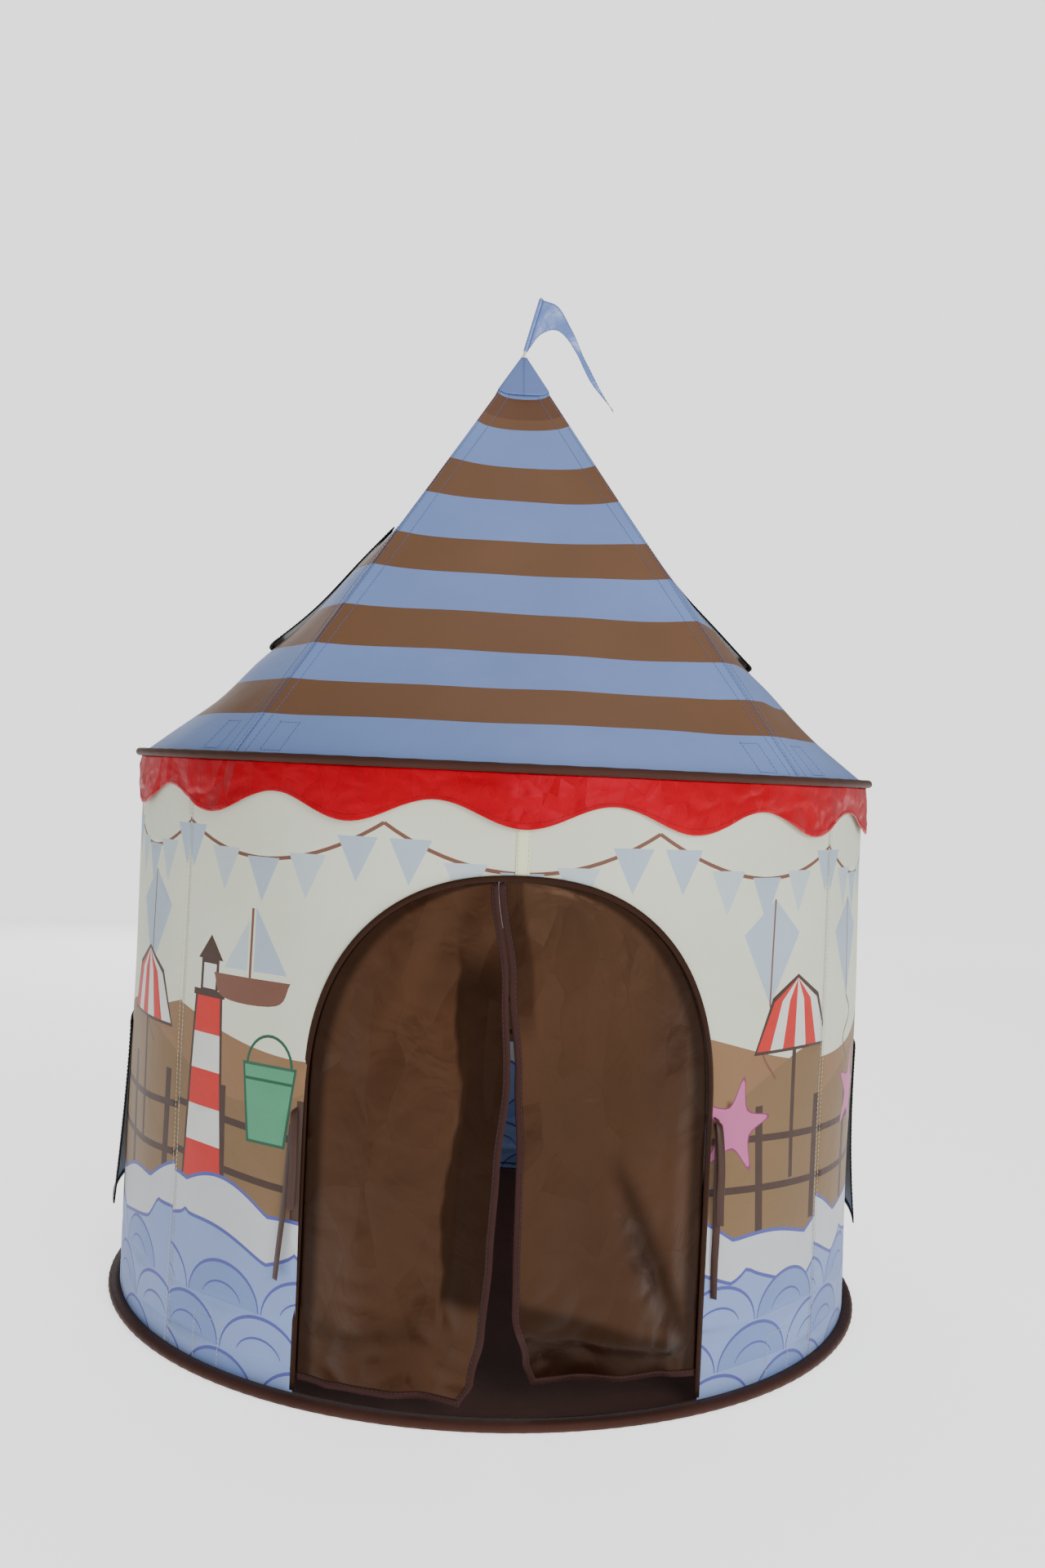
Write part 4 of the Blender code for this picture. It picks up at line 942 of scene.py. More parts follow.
@dataclass
class Sewing:
    """Rows of stitches and nets of thread along lines on the cloth."""

    spacing: float = 0.0055
    stitch: float = 0.0036
    thread_radius: float = 0.00038
    net_thread_radius: float = 0.00056
    rows: dict[tuple[str, str], list[Array]] = field(default_factory=dict)

    def add(self, group: str, line: Array, cloth: Cloth = THREAD) -> None:
        """Keep a line that is to be sewn, in a group of rows that become one piece."""
        self.rows.setdefault((group, cloth.name), []).append(line)

    def lines_piece(self, name: str, lines: Sequence[Array]) -> bpy.types.Object:
        """A mesh of bare lines for a tree to work along.

        Args:
            name: Which one.
            lines: The lines' points.

        Returns:
            The piece.
        """
        points, edges = [], []
        for line in lines:
            start = len(points)
            points.extend(line.tolist())
            edges.extend((start + k, start + k + 1) for k in range(len(line) - 1))
        mesh = bpy.data.meshes.new(name)
        mesh.from_pydata(points, edges, [])
        return link(name, mesh)

    def stitch_tree(self) -> bpy.types.NodeTree:
        """A tree that lays short rounded stitches end to end along lines.

        Returns:
            The tree, made once.
        """
        found = bpy.data.node_groups.get("lockstitch_rows")
        if found:
            return found
        tree, start, end = node_tree(
            "lockstitch_rows",
            {
                "Spacing": "NodeSocketFloat", "Stitch Length": "NodeSocketFloat",
                "Thread Radius": "NodeSocketFloat", "Thread": "NodeSocketMaterial"})
        curve = add_node(
            tree, "GeometryNodeMeshToCurve", inputs={"Mesh": start.outputs["Geometry"]})
        even = add_node(
            tree, "GeometryNodeResampleCurve", {"mode": "LENGTH"},
            {"Curve": curve.outputs[0], "Length": start.outputs["Spacing"]})
        spots = add_node(
            tree, "GeometryNodeCurveToPoints", {"mode": "EVALUATED"}, {"Curve": even.outputs[0]})
        stitch = add_node(
            tree, "GeometryNodeMeshCylinder",
            inputs={
                "Vertices": 5, "Radius": start.outputs["Thread Radius"],
                "Depth": start.outputs["Stitch Length"]})
        laid = add_node(
            tree, "GeometryNodeInstanceOnPoints",
            inputs={
                "Points": spots.outputs["Points"], "Instance": stitch.outputs["Mesh"],
                "Rotation": spots.outputs["Rotation"]})
        return end_tree(tree, end, laid.outputs[0], start.outputs["Thread"])

    def thread_tree(self) -> bpy.types.NodeTree:
        """A tree that turns lines into round threads.

        Returns:
            The tree, made once.
        """
        found = bpy.data.node_groups.get("net_threads")
        if found:
            return found
        tree, start, end = node_tree(
            "net_threads", {"Thread Radius": "NodeSocketFloat", "Thread": "NodeSocketMaterial"})
        curve = add_node(
            tree, "GeometryNodeMeshToCurve", inputs={"Mesh": start.outputs["Geometry"]})
        ring = add_node(
            tree, "GeometryNodeCurvePrimitiveCircle", {"mode": "RADIUS"},
            {"Resolution": 3, "Radius": start.outputs["Thread Radius"]})
        tube = add_node(
            tree, "GeometryNodeCurveToMesh",
            inputs={"Fill Caps": True, "Curve": curve.outputs[0], "Profile Curve": ring.outputs[0]})
        return end_tree(tree, end, tube.outputs[0], start.outputs["Thread"])

    def net(self, name: str, lines: Sequence[Array]) -> bpy.types.Object:
        """A net of round threads along lines."""
        return apply_tree(
            self.lines_piece(name, lines), self.thread_tree(),
            {"Thread Radius": self.net_thread_radius, "Thread": NETTING.material()})

    def sew(self, name: str, group: str, cloth: Cloth = THREAD) -> bpy.types.Object | None:
        """Turn a group's lines into one piece of stitches.

        Args:
            name: Which one.
            group: The group of rows.
            cloth: The thread.

        Returns:
            The piece, or none where nothing was kept.
        """
        lines = self.rows.pop((group, cloth.name), [])
        if not lines:
            return None
        return apply_tree(
            self.lines_piece(name, lines), self.stitch_tree(),
            {
                "Spacing": self.spacing, "Stitch Length": self.stitch,
                "Thread Radius": self.thread_radius, "Thread": cloth.material()})


SEWING = Sewing()


# The print


class Ink(Enum):
    """Colours of the printed seaside."""

    SKY = "#C9CDBA"
    CLOUD_BLUE = "#9DADBC"
    CLOUD_PALE = "#ACB9BF"
    DUNE = "#735A3C"
    DUNE_LIGHT = "#7F6042"
    TIMBER = "#3E2A22"
    STRING = "#6A4638"
    SEA = "#7D91BE"
    SEA_DEEP = "#6C82B4"
    FOAM = "#B9BBC0"
    OUTLINE = "#4B5096"
    PINK = "#B45F8C"
    PINK_DARK = "#7C2E5A"
    GREEN = "#488C69"
    GREEN_DARK = "#22503C"
    RED = "#B9231E"
    WHITE = "#C8CAC6"


def curve_through(points: Sequence[Flat], steps: int = 6, closed: bool = False) -> list[Flat]:
    """A smooth line through points.

    Args:
        points: The places that it passes.
        steps: Points per stretch.
        closed: Whether it returns to its start.

    Returns:
        The line's points.
    """
    row = np.array(points, float)
    ends = (row[-1], row, row[:2]) if closed else (2 * row[0] - row[1], row, 2 * row[-1] - row[-2])
    ends = np.vstack(ends)
    spans = len(row) if closed else len(row) - 1
    out = []
    for k in range(spans):
        a, b, c, d = ends[k:k + 4]
        for t in np.arange(steps) / steps:
            out.append(
                (
                    (
                        2 * b + (c - a) * t + (2 * a - 5 * b + 4 * c - d) * t * t
                        + (3 * b - a - 3 * c + d) * t ** 3) / 2))
    if not closed:
        out.append(row[-1])
    return [(float(x), float(y)) for x, y in out]


def stroke(line: Sequence[Flat], width: float, taper: bool = False) -> list[Flat]:
    """The outline of a drawn line, which may taper to its ends.

    Args:
        line: The line's points.
        width: The width in metres.
        taper: Whether it thins towards its ends.

    Returns:
        The outline.
    """
    row = np.array(line, float)
    way = np.gradient(row, axis=0)
    way /= np.maximum(np.linalg.norm(way, axis=1), 1e-9)[:, None]
    side = np.stack([-way[:, 1], way[:, 0]], axis=1) * width / 2
    if taper:
        side *= (0.25 + 0.75 * np.sin(np.linspace(0.15, math.pi - 0.15, len(row))))[:, None]
    ring = np.vstack([row + side, (row - side)[::-1]])
    return [(float(x), float(y)) for x, y in ring]


@dataclass
class SeasidePrint:
    """A plain seaside for one wall panel: sea, dunes, a fence, boats, kites and bunting."""

    half: float
    seed: int
    shapes: list[Shape] = field(default_factory=list)

    @property
    def reach(self) -> float:
        """How far the print runs to each side, past the seams."""
        return self.half + 0.02

    def ink(self, colour: Ink, outline: list[Flat], spot: Flat | None = None) -> None:
        """Lay one shape over what is printed already, about a spot where one is given."""
        u, v = spot or (0.0, 0.0)
        self.shapes.append(
            (colour.value, [(u + x, v + y) for x, y in outline] if spot else outline))

    def draw(self, pictures: Sequence[tuple[str, float, float]]) -> list[Shape]:
        """Print the whole panel.

        Args:
            pictures: Method name, place across and height of each small picture.

        Returns:
            The shapes from the lowest layer to the top one.
        """
        self.bunting()
        self.dunes()
        self.fence()
        for name, across, height in pictures:
            getattr(self, name)(across, height)
        self.sea()
        return self.shapes

    def dunes(self) -> None:
        """Two rows of rolling dunes."""
        reach, rows = self.reach, (
            (Ink.DUNE_LIGHT, 0.420, 0.030, 9.0, 0.6), (Ink.DUNE, 0.372, 0.040, 12.0, 2.4))
        for colour, level, swell, pace, start in rows:
            crest = [
                (u, level + swell * math.sin(u * pace + start + self.seed))
                for u in np.linspace(-reach, reach, 70)]
            self.ink(colour, crest + [(reach, -0.01), (-reach, -0.01)])

    def fence(self) -> None:
        """A dark post and rail fence along the dunes."""
        reach = self.reach
        for level in (0.246, 0.305):
            line = [
                (u, level + 0.007 * math.sin(u * 9 + self.seed))
                for u in np.linspace(-reach, reach, 40)]
            self.ink(Ink.TIMBER, stroke(line, 0.0085))
        for k, u in enumerate(np.arange(-reach, reach, 0.115)):
            post = [(u, 0.19), (u + 0.004 * (-1) ** k, 0.345)]
            self.ink(Ink.TIMBER, stroke(post, 0.013))

    def sea(self) -> None:
        """A sea of overlapping round waves with a pale foaming edge."""
        reach = self.reach
        line = np.linspace(-reach, reach, 120)
        crest = [
            (u, 0.196 + 0.024 * math.sin(u * 12 + self.seed) + 0.016 * abs(math.sin(u * 22)))
            for u in line]
        foot = [(reach, -0.01), (-reach, -0.01)]
        self.ink(Ink.OUTLINE, [(u, v + 0.0045) for u, v in crest] + foot)
        self.ink(Ink.FOAM, crest + foot)
        under = [(u, v - 0.036 - 0.026 * abs(math.sin(u * 17 + 1)) ** 0.6) for u, v in crest]
        self.ink(Ink.OUTLINE, [(u, v + 0.0045) for u, v in under] + foot)
        self.ink(Ink.SEA, under + foot)
        for row in range(3):
            level = 0.088 - 0.052 * row
            for k, u in enumerate(np.arange(-reach + 0.062 * (row % 2), reach, 0.124)):
                arc = [
                    (u + 0.060 * math.cos(turn), level + 0.050 * math.sin(turn))
                    for turn in np.linspace(0.04, math.pi - 0.04, 20)]
                self.ink((Ink.SEA, Ink.SEA_DEEP)[(row + k) % 2], arc)
                self.ink(Ink.OUTLINE, stroke(arc, 0.0042, taper=True))
                inner = [
                    (u + 0.034 * math.cos(turn), level + 0.026 * math.sin(turn))
                    for turn in np.linspace(0.3, math.pi - 0.3, 12)]
                self.ink(Ink.OUTLINE, stroke(inner, 0.0028, taper=True))

    def bunting(self) -> None:
        """A string of pennants that hangs in swags."""
        reach = self.reach
        knots = np.linspace(-reach, reach, 4)
        for left, right in zip(knots, knots[1:]):
            sag = [
                (left + (right - left) * s, 0.668 - 0.20 * s * (1 - s))
                for s in np.linspace(0, 1, 24)]
            self.ink(Ink.STRING, stroke(sag, 0.0045))
            for k, s in enumerate(np.linspace(0.1, 0.9, 5)):
                u, v = left + (right - left) * s, 0.669 - 0.20 * s * (1 - s)
                self.ink(
                    (Ink.CLOUD_BLUE, Ink.CLOUD_PALE)[k % 2],
                    [(u - 0.025, v), (u + 0.025, v), (u, v - 0.052)])

    def kite(self, u: float, v: float) -> None:
        """A pale blue kite with a tail.

        Args:
            u: Places across.
            v: Places along.
        """
        self.ink(Ink.CLOUD_BLUE, [(0, -0.07), (0.052, 0.016), (0, 0.058), (-0.052, 0.016)], (u, v))
        self.ink(Ink.STRING, stroke([(u, v - 0.07), (u, v + 0.058)], 0.003))
        tail = curve_through(
            [(u, v - 0.07), (u + 0.022, v - 0.095), (u - 0.008, v - 0.125), (u + 0.018, v - 0.16)])
        self.ink(Ink.STRING, stroke(tail, 0.0035))

    def boat(self, u: float, v: float) -> None:
        """A small sailing boat.

        Args:
            u: Places across.
            v: Places along.
        """
        self.ink(Ink.STRING, stroke([(u, v), (u, v + 0.090)], 0.004))
        self.ink(Ink.CLOUD_BLUE, [(0.005, 0.016), (0.056, 0.016), (0.005, 0.092)], (u, v))
        self.ink(Ink.CLOUD_PALE, [(-0.005, 0.016), (-0.044, 0.016), (-0.005, 0.076)], (u, v))
        hull = curve_through(
            [
                (u - 0.062, v + 0.008), (u - 0.042, v - 0.020), (u + 0.042, v - 0.020),
                (u + 0.062, v + 0.008)])
        self.ink(Ink.STRING, hull)

    def lighthouse(self, u: float, v: float) -> None:
        """A red and white lighthouse.

        Args:
            u: Places across.
            v: Places along.
        """
        self.ink(Ink.TIMBER, [(-0.041, 0), (0.041, 0), (0.026, 0.225), (-0.026, 0.225)], (u, v))
        for k in range(5):
            low, high = v + 0.044 * k, v + 0.044 * (k + 1)
            wide, thin = 0.037 - 0.003 * k, 0.037 - 0.003 * (k + 1)
            self.ink(
                (Ink.RED, Ink.WHITE)[k % 2],
                [(u - wide, low), (u + wide, low), (u + thin, high), (u - thin, high)])
        top = v + 0.22
        deck = [(-0.03, 0), (0.03, 0), (0.03, 0.008), (-0.03, 0.008)]
        lantern = [(-0.017, 0), (0.017, 0), (0.017, 0.045), (-0.017, 0.045)]
        pane = [(-0.012, 0.01), (0.012, 0.01), (0.012, 0.04), (-0.012, 0.04)]
        hood = [(-0.024, 0.045), (0.024, 0.045), (0, 0.075)]
        for colour, outline in (
                (Ink.TIMBER, deck), (Ink.TIMBER, lantern), (Ink.WHITE, pane), (Ink.TIMBER, hood)):
            self.ink(colour, outline, (u, top))

    def parasol(self, u: float, v: float) -> None:
        """A red and white sunshade on a dark pole.

        Args:
            u: Places across.
            v: Places along.
        """
        self.ink(Ink.TIMBER, stroke([(u, v - 0.16), (u, v + 0.01)], 0.008))
        rim = np.linspace(-1, 1, 7)
        top = v + 0.085
        self.ink(
            Ink.TIMBER,
            [
                (u - 0.079, v - 0.004), (u + 0.079, v - 0.004), (u + 0.05, v + 0.063),
                (u, top + 0.005), (u - 0.05, v + 0.063)])
        for k, (a, b) in enumerate(zip(rim, rim[1:])):
            wedge = [
                (u + 0.074 * a, v), (u + 0.074 * b, v), (u + 0.046 * b, v + 0.058), (u, top),
                (u + 0.046 * a, v + 0.058)]
            self.ink((Ink.RED, Ink.WHITE)[k % 2], wedge)

    def star(self, u: float, v: float) -> None:
        """A pink starfish.

        Args:
            u: Places across.
            v: Places along.
        """
        for colour, size in ((Ink.PINK_DARK, 1.0), (Ink.PINK, 0.92)):
            tips = []
            for k in range(10):
                reach, turn = (0.060 if k % 2 == 0 else 0.027) * size, math.tau * k / 10 + 0.2
                tips.append((u + reach * math.sin(turn), v + reach * math.cos(turn)))
            self.ink(colour, curve_through(tips, 5, closed=True))

    def pail(self, u: float, v: float) -> None:
        """A green pail with a handle.

        Args:
            u: Places across.
            v: Places along.
        """
        turns = np.linspace(0, math.pi, 16)
        self.ink(
            Ink.GREEN_DARK,
            stroke(
                [(u + 0.033 * math.cos(t), v + 0.042 + 0.036 * math.sin(t)) for t in turns], 0.0036)
        )
        for colour, edge in ((Ink.GREEN_DARK, 0.0), (Ink.GREEN, 0.0035)):
            self.ink(
                colour,
                [
                    (u - 0.040 + edge, v + 0.045 - edge), (u + 0.040 - edge, v + 0.045 - edge),
                    (u + 0.029 - edge, v - 0.048 + edge), (u - 0.029 + edge, v - 0.048 + edge)])
        self.ink(Ink.GREEN_DARK, stroke([(u - 0.036, v + 0.026), (u + 0.036, v + 0.026)], 0.0035))


PICTURES: dict[str, tuple[tuple[str, float, float], ...]] = {
    "front": (
        ("lighthouse", -0.40, 0.225), ("pail", -0.292, 0.335), ("kite", 0.335, 0.535),
        ("boat", -0.33, 0.468), ("star", 0.285, 0.325), ("parasol", 0.39, 0.41)),
    "right": (
        ("kite", -0.27, 0.53), ("boat", 0.0, 0.475), ("lighthouse", 0.27, 0.23),
        ("star", -0.23, 0.33)),
    "back": (
        ("boat", -0.2, 0.475), ("kite", 0.0, 0.53), ("lighthouse", 0.12, 0.23),
        ("star", -0.13, 0.33), ("pail", 0.3, 0.335), ("parasol", -0.34, 0.40)),
    "left": (
        ("kite", 0.26, 0.53), ("boat", 0.0, 0.475), ("pail", -0.23, 0.335), ("parasol", 0.25, 0.40)
    ),}


def printed_cloth(
        name: str, outline: list[Flat], shapes: Sequence[Shape], place: Place,
        cloths: Sequence[Cloth]) -> bpy.types.Object:
    """A cloth cut to an outline, with printed shapes as crisp colours in its mesh.

    Args:
        name: The piece's name.
        outline: The cut, on the flat cloth.
        shapes: Printed shapes, lowest first.
        place: Points from both places on the flat cloth.
        cloths: The outer cloth, and the inner one where it is lined.

    Returns:
        The piece as plain mesh.
    """
    rings = [anticlockwise(ring) for ring in [outline] + [ring for _, ring in shapes]]
    corners = [corner for ring in rings for corner in ring]
    starts = np.cumsum([0] + [len(ring) for ring in rings])
    faces = [list(range(a, b)) for a, b in zip(starts, starts[1:])]
    low, high = np.min(outline, axis=0), np.max(outline, axis=0)
    grid = np.stack(
        np.meshgrid(spaced([low[0], high[0]], PRINT_NET), spaced([low[1], high[1]], PRINT_NET)),
        axis=-1)
    inner = grid[1:-1, 1:-1].reshape(-1, 2)
    inner = inner[clear_of(inner, rings, PRINT_NET * 0.2)]
    points = [Vector(corner) for corner in corners] + [Vector(corner) for corner in inner.tolist()]
    out_points, _, out_faces, _, _, covers = delaunay_2d_cdt(points, [], faces, 1, 1e-6, True)
    kept = [(face, max(cover)) for face, cover in zip(out_faces, covers) if 0 in cover]
    cut = np.array([tuple(point) for point in out_points])
    places = place(cut[:, 0], cut[:, 1])
    mesh = mesh_of(name, places, [face for face, _ in kept], cut)
    inks = [linear(Ink.SKY.value)] + [linear(colour) for colour, _ in shapes]
    tops = np.array([inks[top] for _, top in kept], np.float32)
    colours = mesh.color_attributes.new("print", "FLOAT_COLOR", "CORNER")
    colours.data.foreach_set(
        "color", np.repeat(tops, [len(face) for face, _ in kept], axis=0).ravel())
    rework(mesh, drop_loose)
    for cloth in cloths:
        mesh.materials.append(cloth.material())
    return thicken(link(name, mesh), len(cloths) > 1)


def anticlockwise(ring: list[Flat]) -> list[Flat]:
    """A ring that runs anticlockwise, because its left side is the printed one."""
    row = np.array(ring)
    after = np.roll(row, -1, axis=0)
    return ring if (row[:, 0] * after[:, 1] - after[:, 0] * row[:, 1]).sum() > 0 else ring[::-1]


def clear_of(points: Array, rings: Sequence[Sequence[Flat]], gap: float) -> Array:
    """Which points lie further than a gap from every drawn line.

    Args:
        points: The points.
        rings: The drawn lines, each closed.
        gap: The gap in metres.

    Returns:
        True for each point that is clear.
    """
    clear = np.ones(len(points), bool)
    for ring in rings:
        row = np.array(ring)
        way = np.roll(row, -1, axis=0) - row
        near = np.flatnonzero(
            clear & (points >= row.min(0) - gap).all(1) & (points <= row.max(0) + gap).all(1))
        if not len(near):
            continue
        off = points[near, None] - row[None]
        share = np.clip((off * way).sum(-1) / np.maximum((way ** 2).sum(-1), 1e-12), 0, 1)
        distance = np.linalg.norm(off - way * share[..., None], axis=-1).min(1)
        clear[near[distance < gap]] = False
    return clear


# Sub-assemblies


@dataclass
class Doorway:
    """The arched doorway: its cut, piping, flaps, top tape and tie ribbons."""

    half_width: float = 0.232
    spring: float = 0.35
    top: float = 0.611
    power: float = 2.3
    clearance: float = 0.0014
    flap_feet: dict[str, float] = field(default_factory=lambda: {"left": 0.027, "right": 0.040})
    flap_tops: float = 0.110
    binding: float = 0.008
    binding_thickness: float = 0.0022
    fold: float = 0.0055
    flare: float = 0.010
    folds: tuple[float, ...] = (0.33, 0.62, 0.9)
    piping_radius: float = 0.0014
    piping_offset: float = 0.0036
    tape_width: float = 0.016
    edges: dict[str, tuple[tuple[float, float], ...]] = field(
        default_factory=lambda: {
            "right": (
                (0.00, 0.150), (0.06, 0.105), (0.16, 0.040), (0.30, 0.033), (0.46, 0.030),
                (0.62, 0.006), (0.80, -0.038), (1.00, -0.110)),
            "left": (
                (0.00, -0.190), (0.045, -0.125), (0.14, -0.085), (0.28, -0.062), (0.46, -0.046),
                (0.62, -0.014), (0.80, -0.038), (1.00, -0.110))})
    ties: dict[str, tuple[tuple[float, float, float], ...]] = field(
        default_factory=lambda: {
            "left_long": (
                (-0.2440, -0.4527, 0.3320), (-0.2461, -0.4562, 0.3200), (-0.2478, -0.4586, 0.2950),
                (-0.2500, -0.4602, 0.2550), (-0.2528, -0.4608, 0.2150), (-0.2563, -0.4598, 0.1750),
                (-0.2590, -0.4582, 0.1400)),
            "left_short": (
                (-0.2437, -0.4521, 0.3380), (-0.2448, -0.4620, 0.3310), (-0.2440, -0.4668, 0.3080),
                (-0.2430, -0.4692, 0.2780), (-0.2432, -0.4696, 0.2480), (-0.2440, -0.4690, 0.2230)),
            "right_long": (
                (0.2440, -0.4527, 0.3320), (0.2458, -0.4562, 0.3200), (0.2462, -0.4592, 0.2900),
                (0.2466, -0.4604, 0.2500), (0.2474, -0.4608, 0.2100), (0.2470, -0.4610, 0.1700),
                (0.2478, -0.4606, 0.1300)),
            "right_short": (
                (0.2437, -0.4521, 0.3380), (0.2456, -0.4620, 0.3310), (0.2476, -0.4668, 0.3080),
                (0.2490, -0.4692, 0.2780), (0.2488, -0.4698, 0.2480), (0.2498, -0.4692, 0.2180))})
    tie_twists: dict[str, float] = field(
        default_factory=lambda: {
            "left_long": 18.0, "left_short": -14.0, "right_long": 70.0, "right_short": 35.0})
    tie_width: float = 0.009
    tie_thickness: float = 0.0009
    fold_width: float = 0.143
    tip_gap: float = 0.0006
    turned_edge: float = 0.057
    tuck_slope: float = 0.32
    valley_lean: float = 0.447
    bend_start: tuple[float, float, float] = (0.13, -0.4962, 0.479)
    bend_way: Flat = (0.79, 0.61)
    bend_length: float = 0.18
    tape_top: float = 0.7325

    def arch(self, turn: Array, inset: float = 0.0) -> tuple[Array, Array]:
        """Across and height of the rounded top; turn 0 is the right jamb and pi the left."""
        half, rise = self.half_width - inset, self.top - inset - self.spring
        across = np.sign(np.cos(turn)) * np.abs(np.cos(turn)) ** (2 / self.power) * half
        return across, self.spring + np.abs(np.sin(turn)) ** (2 / self.power) * rise

    def half_at(self, height: Array, inset: float = 0.0) -> Array:
        """Half the doorway's width at a height."""
        rise = self.top - inset - self.spring
        share = np.clip((height - self.spring) / rise, 0, 1)
        return (self.half_width - inset) * (1 - share ** self.power) ** (1 / self.power)

    def cut(self) -> list[Flat]:
        """The opening's outline on the flat wall cloth, from the right foot round to the left foot.

        Returns:
            The outline's points.
        """
        rows = spaced([0.002, self.spring], 0.009)[:-1]
        across, height = self.arch(np.linspace(0, math.pi, 60))
        outline = [(self.half_width, z) for z in rows] + list(zip(across, height))
        outline += [(-self.half_width, z) for z in rows[::-1]]
        return [
            (float(math.asin(x / WALL_CENTRE_RADIUS) * WALL_CENTRE_RADIUS), float(z))
            for x, z in outline]

    def front(self, across: Array, height: Array, lift: Any) -> Array:
        """Points on the front wall from a place across, lifted outwards.

        Args:
            across: Places across the doorway.
            height: Heights.
            lift: How far off the cloth.

        Returns:
            The points.
        """
        azimuth = np.arcsin(np.clip(across / WALL_CENTRE_RADIUS, -1, 1))
        reach = WALL_CENTRE_RADIUS + lift
        y = -np.sqrt(np.maximum(reach ** 2 - across ** 2, 0))
        return np.stack(np.broadcast_arrays(across + 0 * azimuth, y, height), axis=-1)

    def edge_at(self, side: str, height: Array) -> Array:
        """Where a flap's free edge hangs, across the doorway.

        Args:
            side: Left or right.
            height: Heights.

        Returns:
            Places across the doorway.
        """
        foot = self.flap_feet[side]
        top = self.flap_top()
        share = (height - foot) / (top - foot)
        table = np.array(self.edges[side])
        k = np.clip(np.searchsorted(table[:, 0], share, side="right") - 1, 0, len(table) - 2)
        t = np.clip((share - table[k, 0]) / (table[k + 1, 0] - table[k, 0]), 0, 1)
        value = table[k, 1] + (table[k + 1, 1] - table[k, 1]) * t * t * (3 - 2 * t)
        if side == "left":
            return value * self.half_width - self.tip_gap
        return np.maximum(
            value * self.half_width + self.tip_gap, -self.half_at(height, self.clearance))

    def flap_top(self) -> float:
        """The height where a flap's free edge meets the arch."""
        return float(self.arch(np.array(self.last_turn()), self.clearance)[1])

    def last_turn(self) -> float:
        """The arch's turn where a flap's free edge meets it."""
        return math.acos(0.004 / self.half_width + self.flap_tops)

    def flap_point(self, side: str, u: Array, height: Array, lift: Any = 0.0) -> Array:
        """Points on a flap: u runs from its sewn edge to its free edge.

        Args:
            side: Left or right.
            u: Stops from the sewn edge to the free edge.
            height: Heights.
            lift: How far off the cloth.

        Returns:
            The points.
        """
        sign, foot, top = SIDES[side], self.flap_feet[side], self.flap_top()
        jamb = sign * self.half_at(height, self.clearance)
        across = jamb + (self.edge_at(side, height) - jamb) * u
        wide = np.abs(across - sign * (self.half_width - self.clearance)) / self.half_width
        deep = np.clip((top - height) / (top - foot), 0, 1)
        # Upright folds that deepen towards the foot, and a flare along the free edge.
        fold = sum(
            (-1) ** k * np.exp(-((wide - place) / self.fold_width) ** 2)
            for k, place in enumerate(self.folds))
        push = self.fold * fold * deep * np.clip(wide / 0.25, 0, 1)
        push = push + self.flare * wide ** 2 * deep ** 3
        spot = np.stack(np.broadcast_arrays(across, 0 * across, height), axis=-1)
        calm = np.clip(wide * 6, 0, 1) * np.clip(u * 5, 0, 1)
        # Two sizes of crumple, most of it in the lowest 110 mm.
        low = np.exp(-((height - foot) / 0.11) ** 2)
        crumple = (0.0006 + 0.0012 * low) * np.abs(ripple(spot, 21 + sign, 0.10, 2.2))
        crumple = crumple + (0.0004 + 0.0022 * low) * np.abs(ripple(spot, 41 + sign, 0.055, 0.9))
        push = push + (crumple - 0.0008 + self.creases(side, across, height, foot)) * calm
        return self.front(across, height, push + lift)

    def doubled_and_painted_shade(self, side: str, u: Array, height: Array) -> Array:
        """Share of a flap's double cloth, which lets no light through, and of shade painted on it.

        Args:
            side: Which flap.
            u: Stops from the sewn edge to the free edge.
            height: Heights.

        Returns:
            A share from nought to one.
        """
        foot, edge = self.flap_feet[side], self.edge_at(side, height)
        jamb = SIDES[side] * self.half_at(height, self.clearance)
        across = jamb + (edge - jamb) * u
        # The seam's allowance is a strip of 26 mm beside the arch.
        seam = 0.75 * slope((0.026 - np.abs(across - jamb)) / 0.014)
        if side == "left":
            # The turned free edge, a little uneven, from 125 to 560 mm up, is double cloth and
            # painted shade; then painted shade in a wavy band about 90 mm up, fainter below it.
            width = self.turned_edge + 0.004 * np.sin(height * 31 + 0.4)
            width = width + 0.002 * np.abs(np.sin(height * 74))
            hem = 0.8 * slope((across - edge + width) / 0.005) * slope((height - 0.125) / 0.02)
            hem = hem * slope((0.56 - height) / 0.07)
            middle = 0.090 + 0.006 * np.sin(across * 43) + 0.003 * np.sin(across * 117)
            low = 0.45 * np.exp(-((height - middle) / 0.020) ** 2) * slope((across + 0.235) / 0.03)
            low = np.maximum(low, 0.3 * slope((middle - height) / 0.01))
            low = low * slope((0.010 - across - 0.07) / 0.05)
        else:
            # A narrow turned edge at the top, then painted shade over the tucked foot and along
            # the valley that runs into it.
            hem = 0.5 * slope((0.030 - across + edge) / 0.006) * slope((height - 0.42) / 0.06)
            low = 0.66 * slope((foot + 0.112 - self.tuck_slope * (across - 0.015) - height) / 0.016)
            low = low - 0.25 * slope((across - 0.12) / 0.08) * slope((0.075 - height) / 0.02)
            valley = np.exp(-((across - 0.170 + self.valley_lean * (height - 0.19)) / 0.012) ** 2)
            low = np.maximum(low, 0.6 * valley * slope((0.32 - height) / 0.06))
        return np.maximum(np.maximum(seam, hem), low)

    def creases(self, side: str, across: Array, height: Array, foot: float) -> Array:
        """The larger folds of each flap.

        Args:
            side: Which flap.
            across: Places across the doorway.
            height: Heights.
            foot: The flap's lowest height.

        Returns:
            How far the cloth is pushed outwards.
        """
        if side == "left":
            # The turned edge dips 8 mm where it starts and rises towards the free edge.
            inwards = across - self.edge_at(side, height)
            turned = slope((inwards + 0.056) / 0.014)
            depth = (inwards + 0.054) * 0.34 - 0.008
            band = slope((height - 0.06) / 0.07) * slope((0.50 - height) / 0.16)
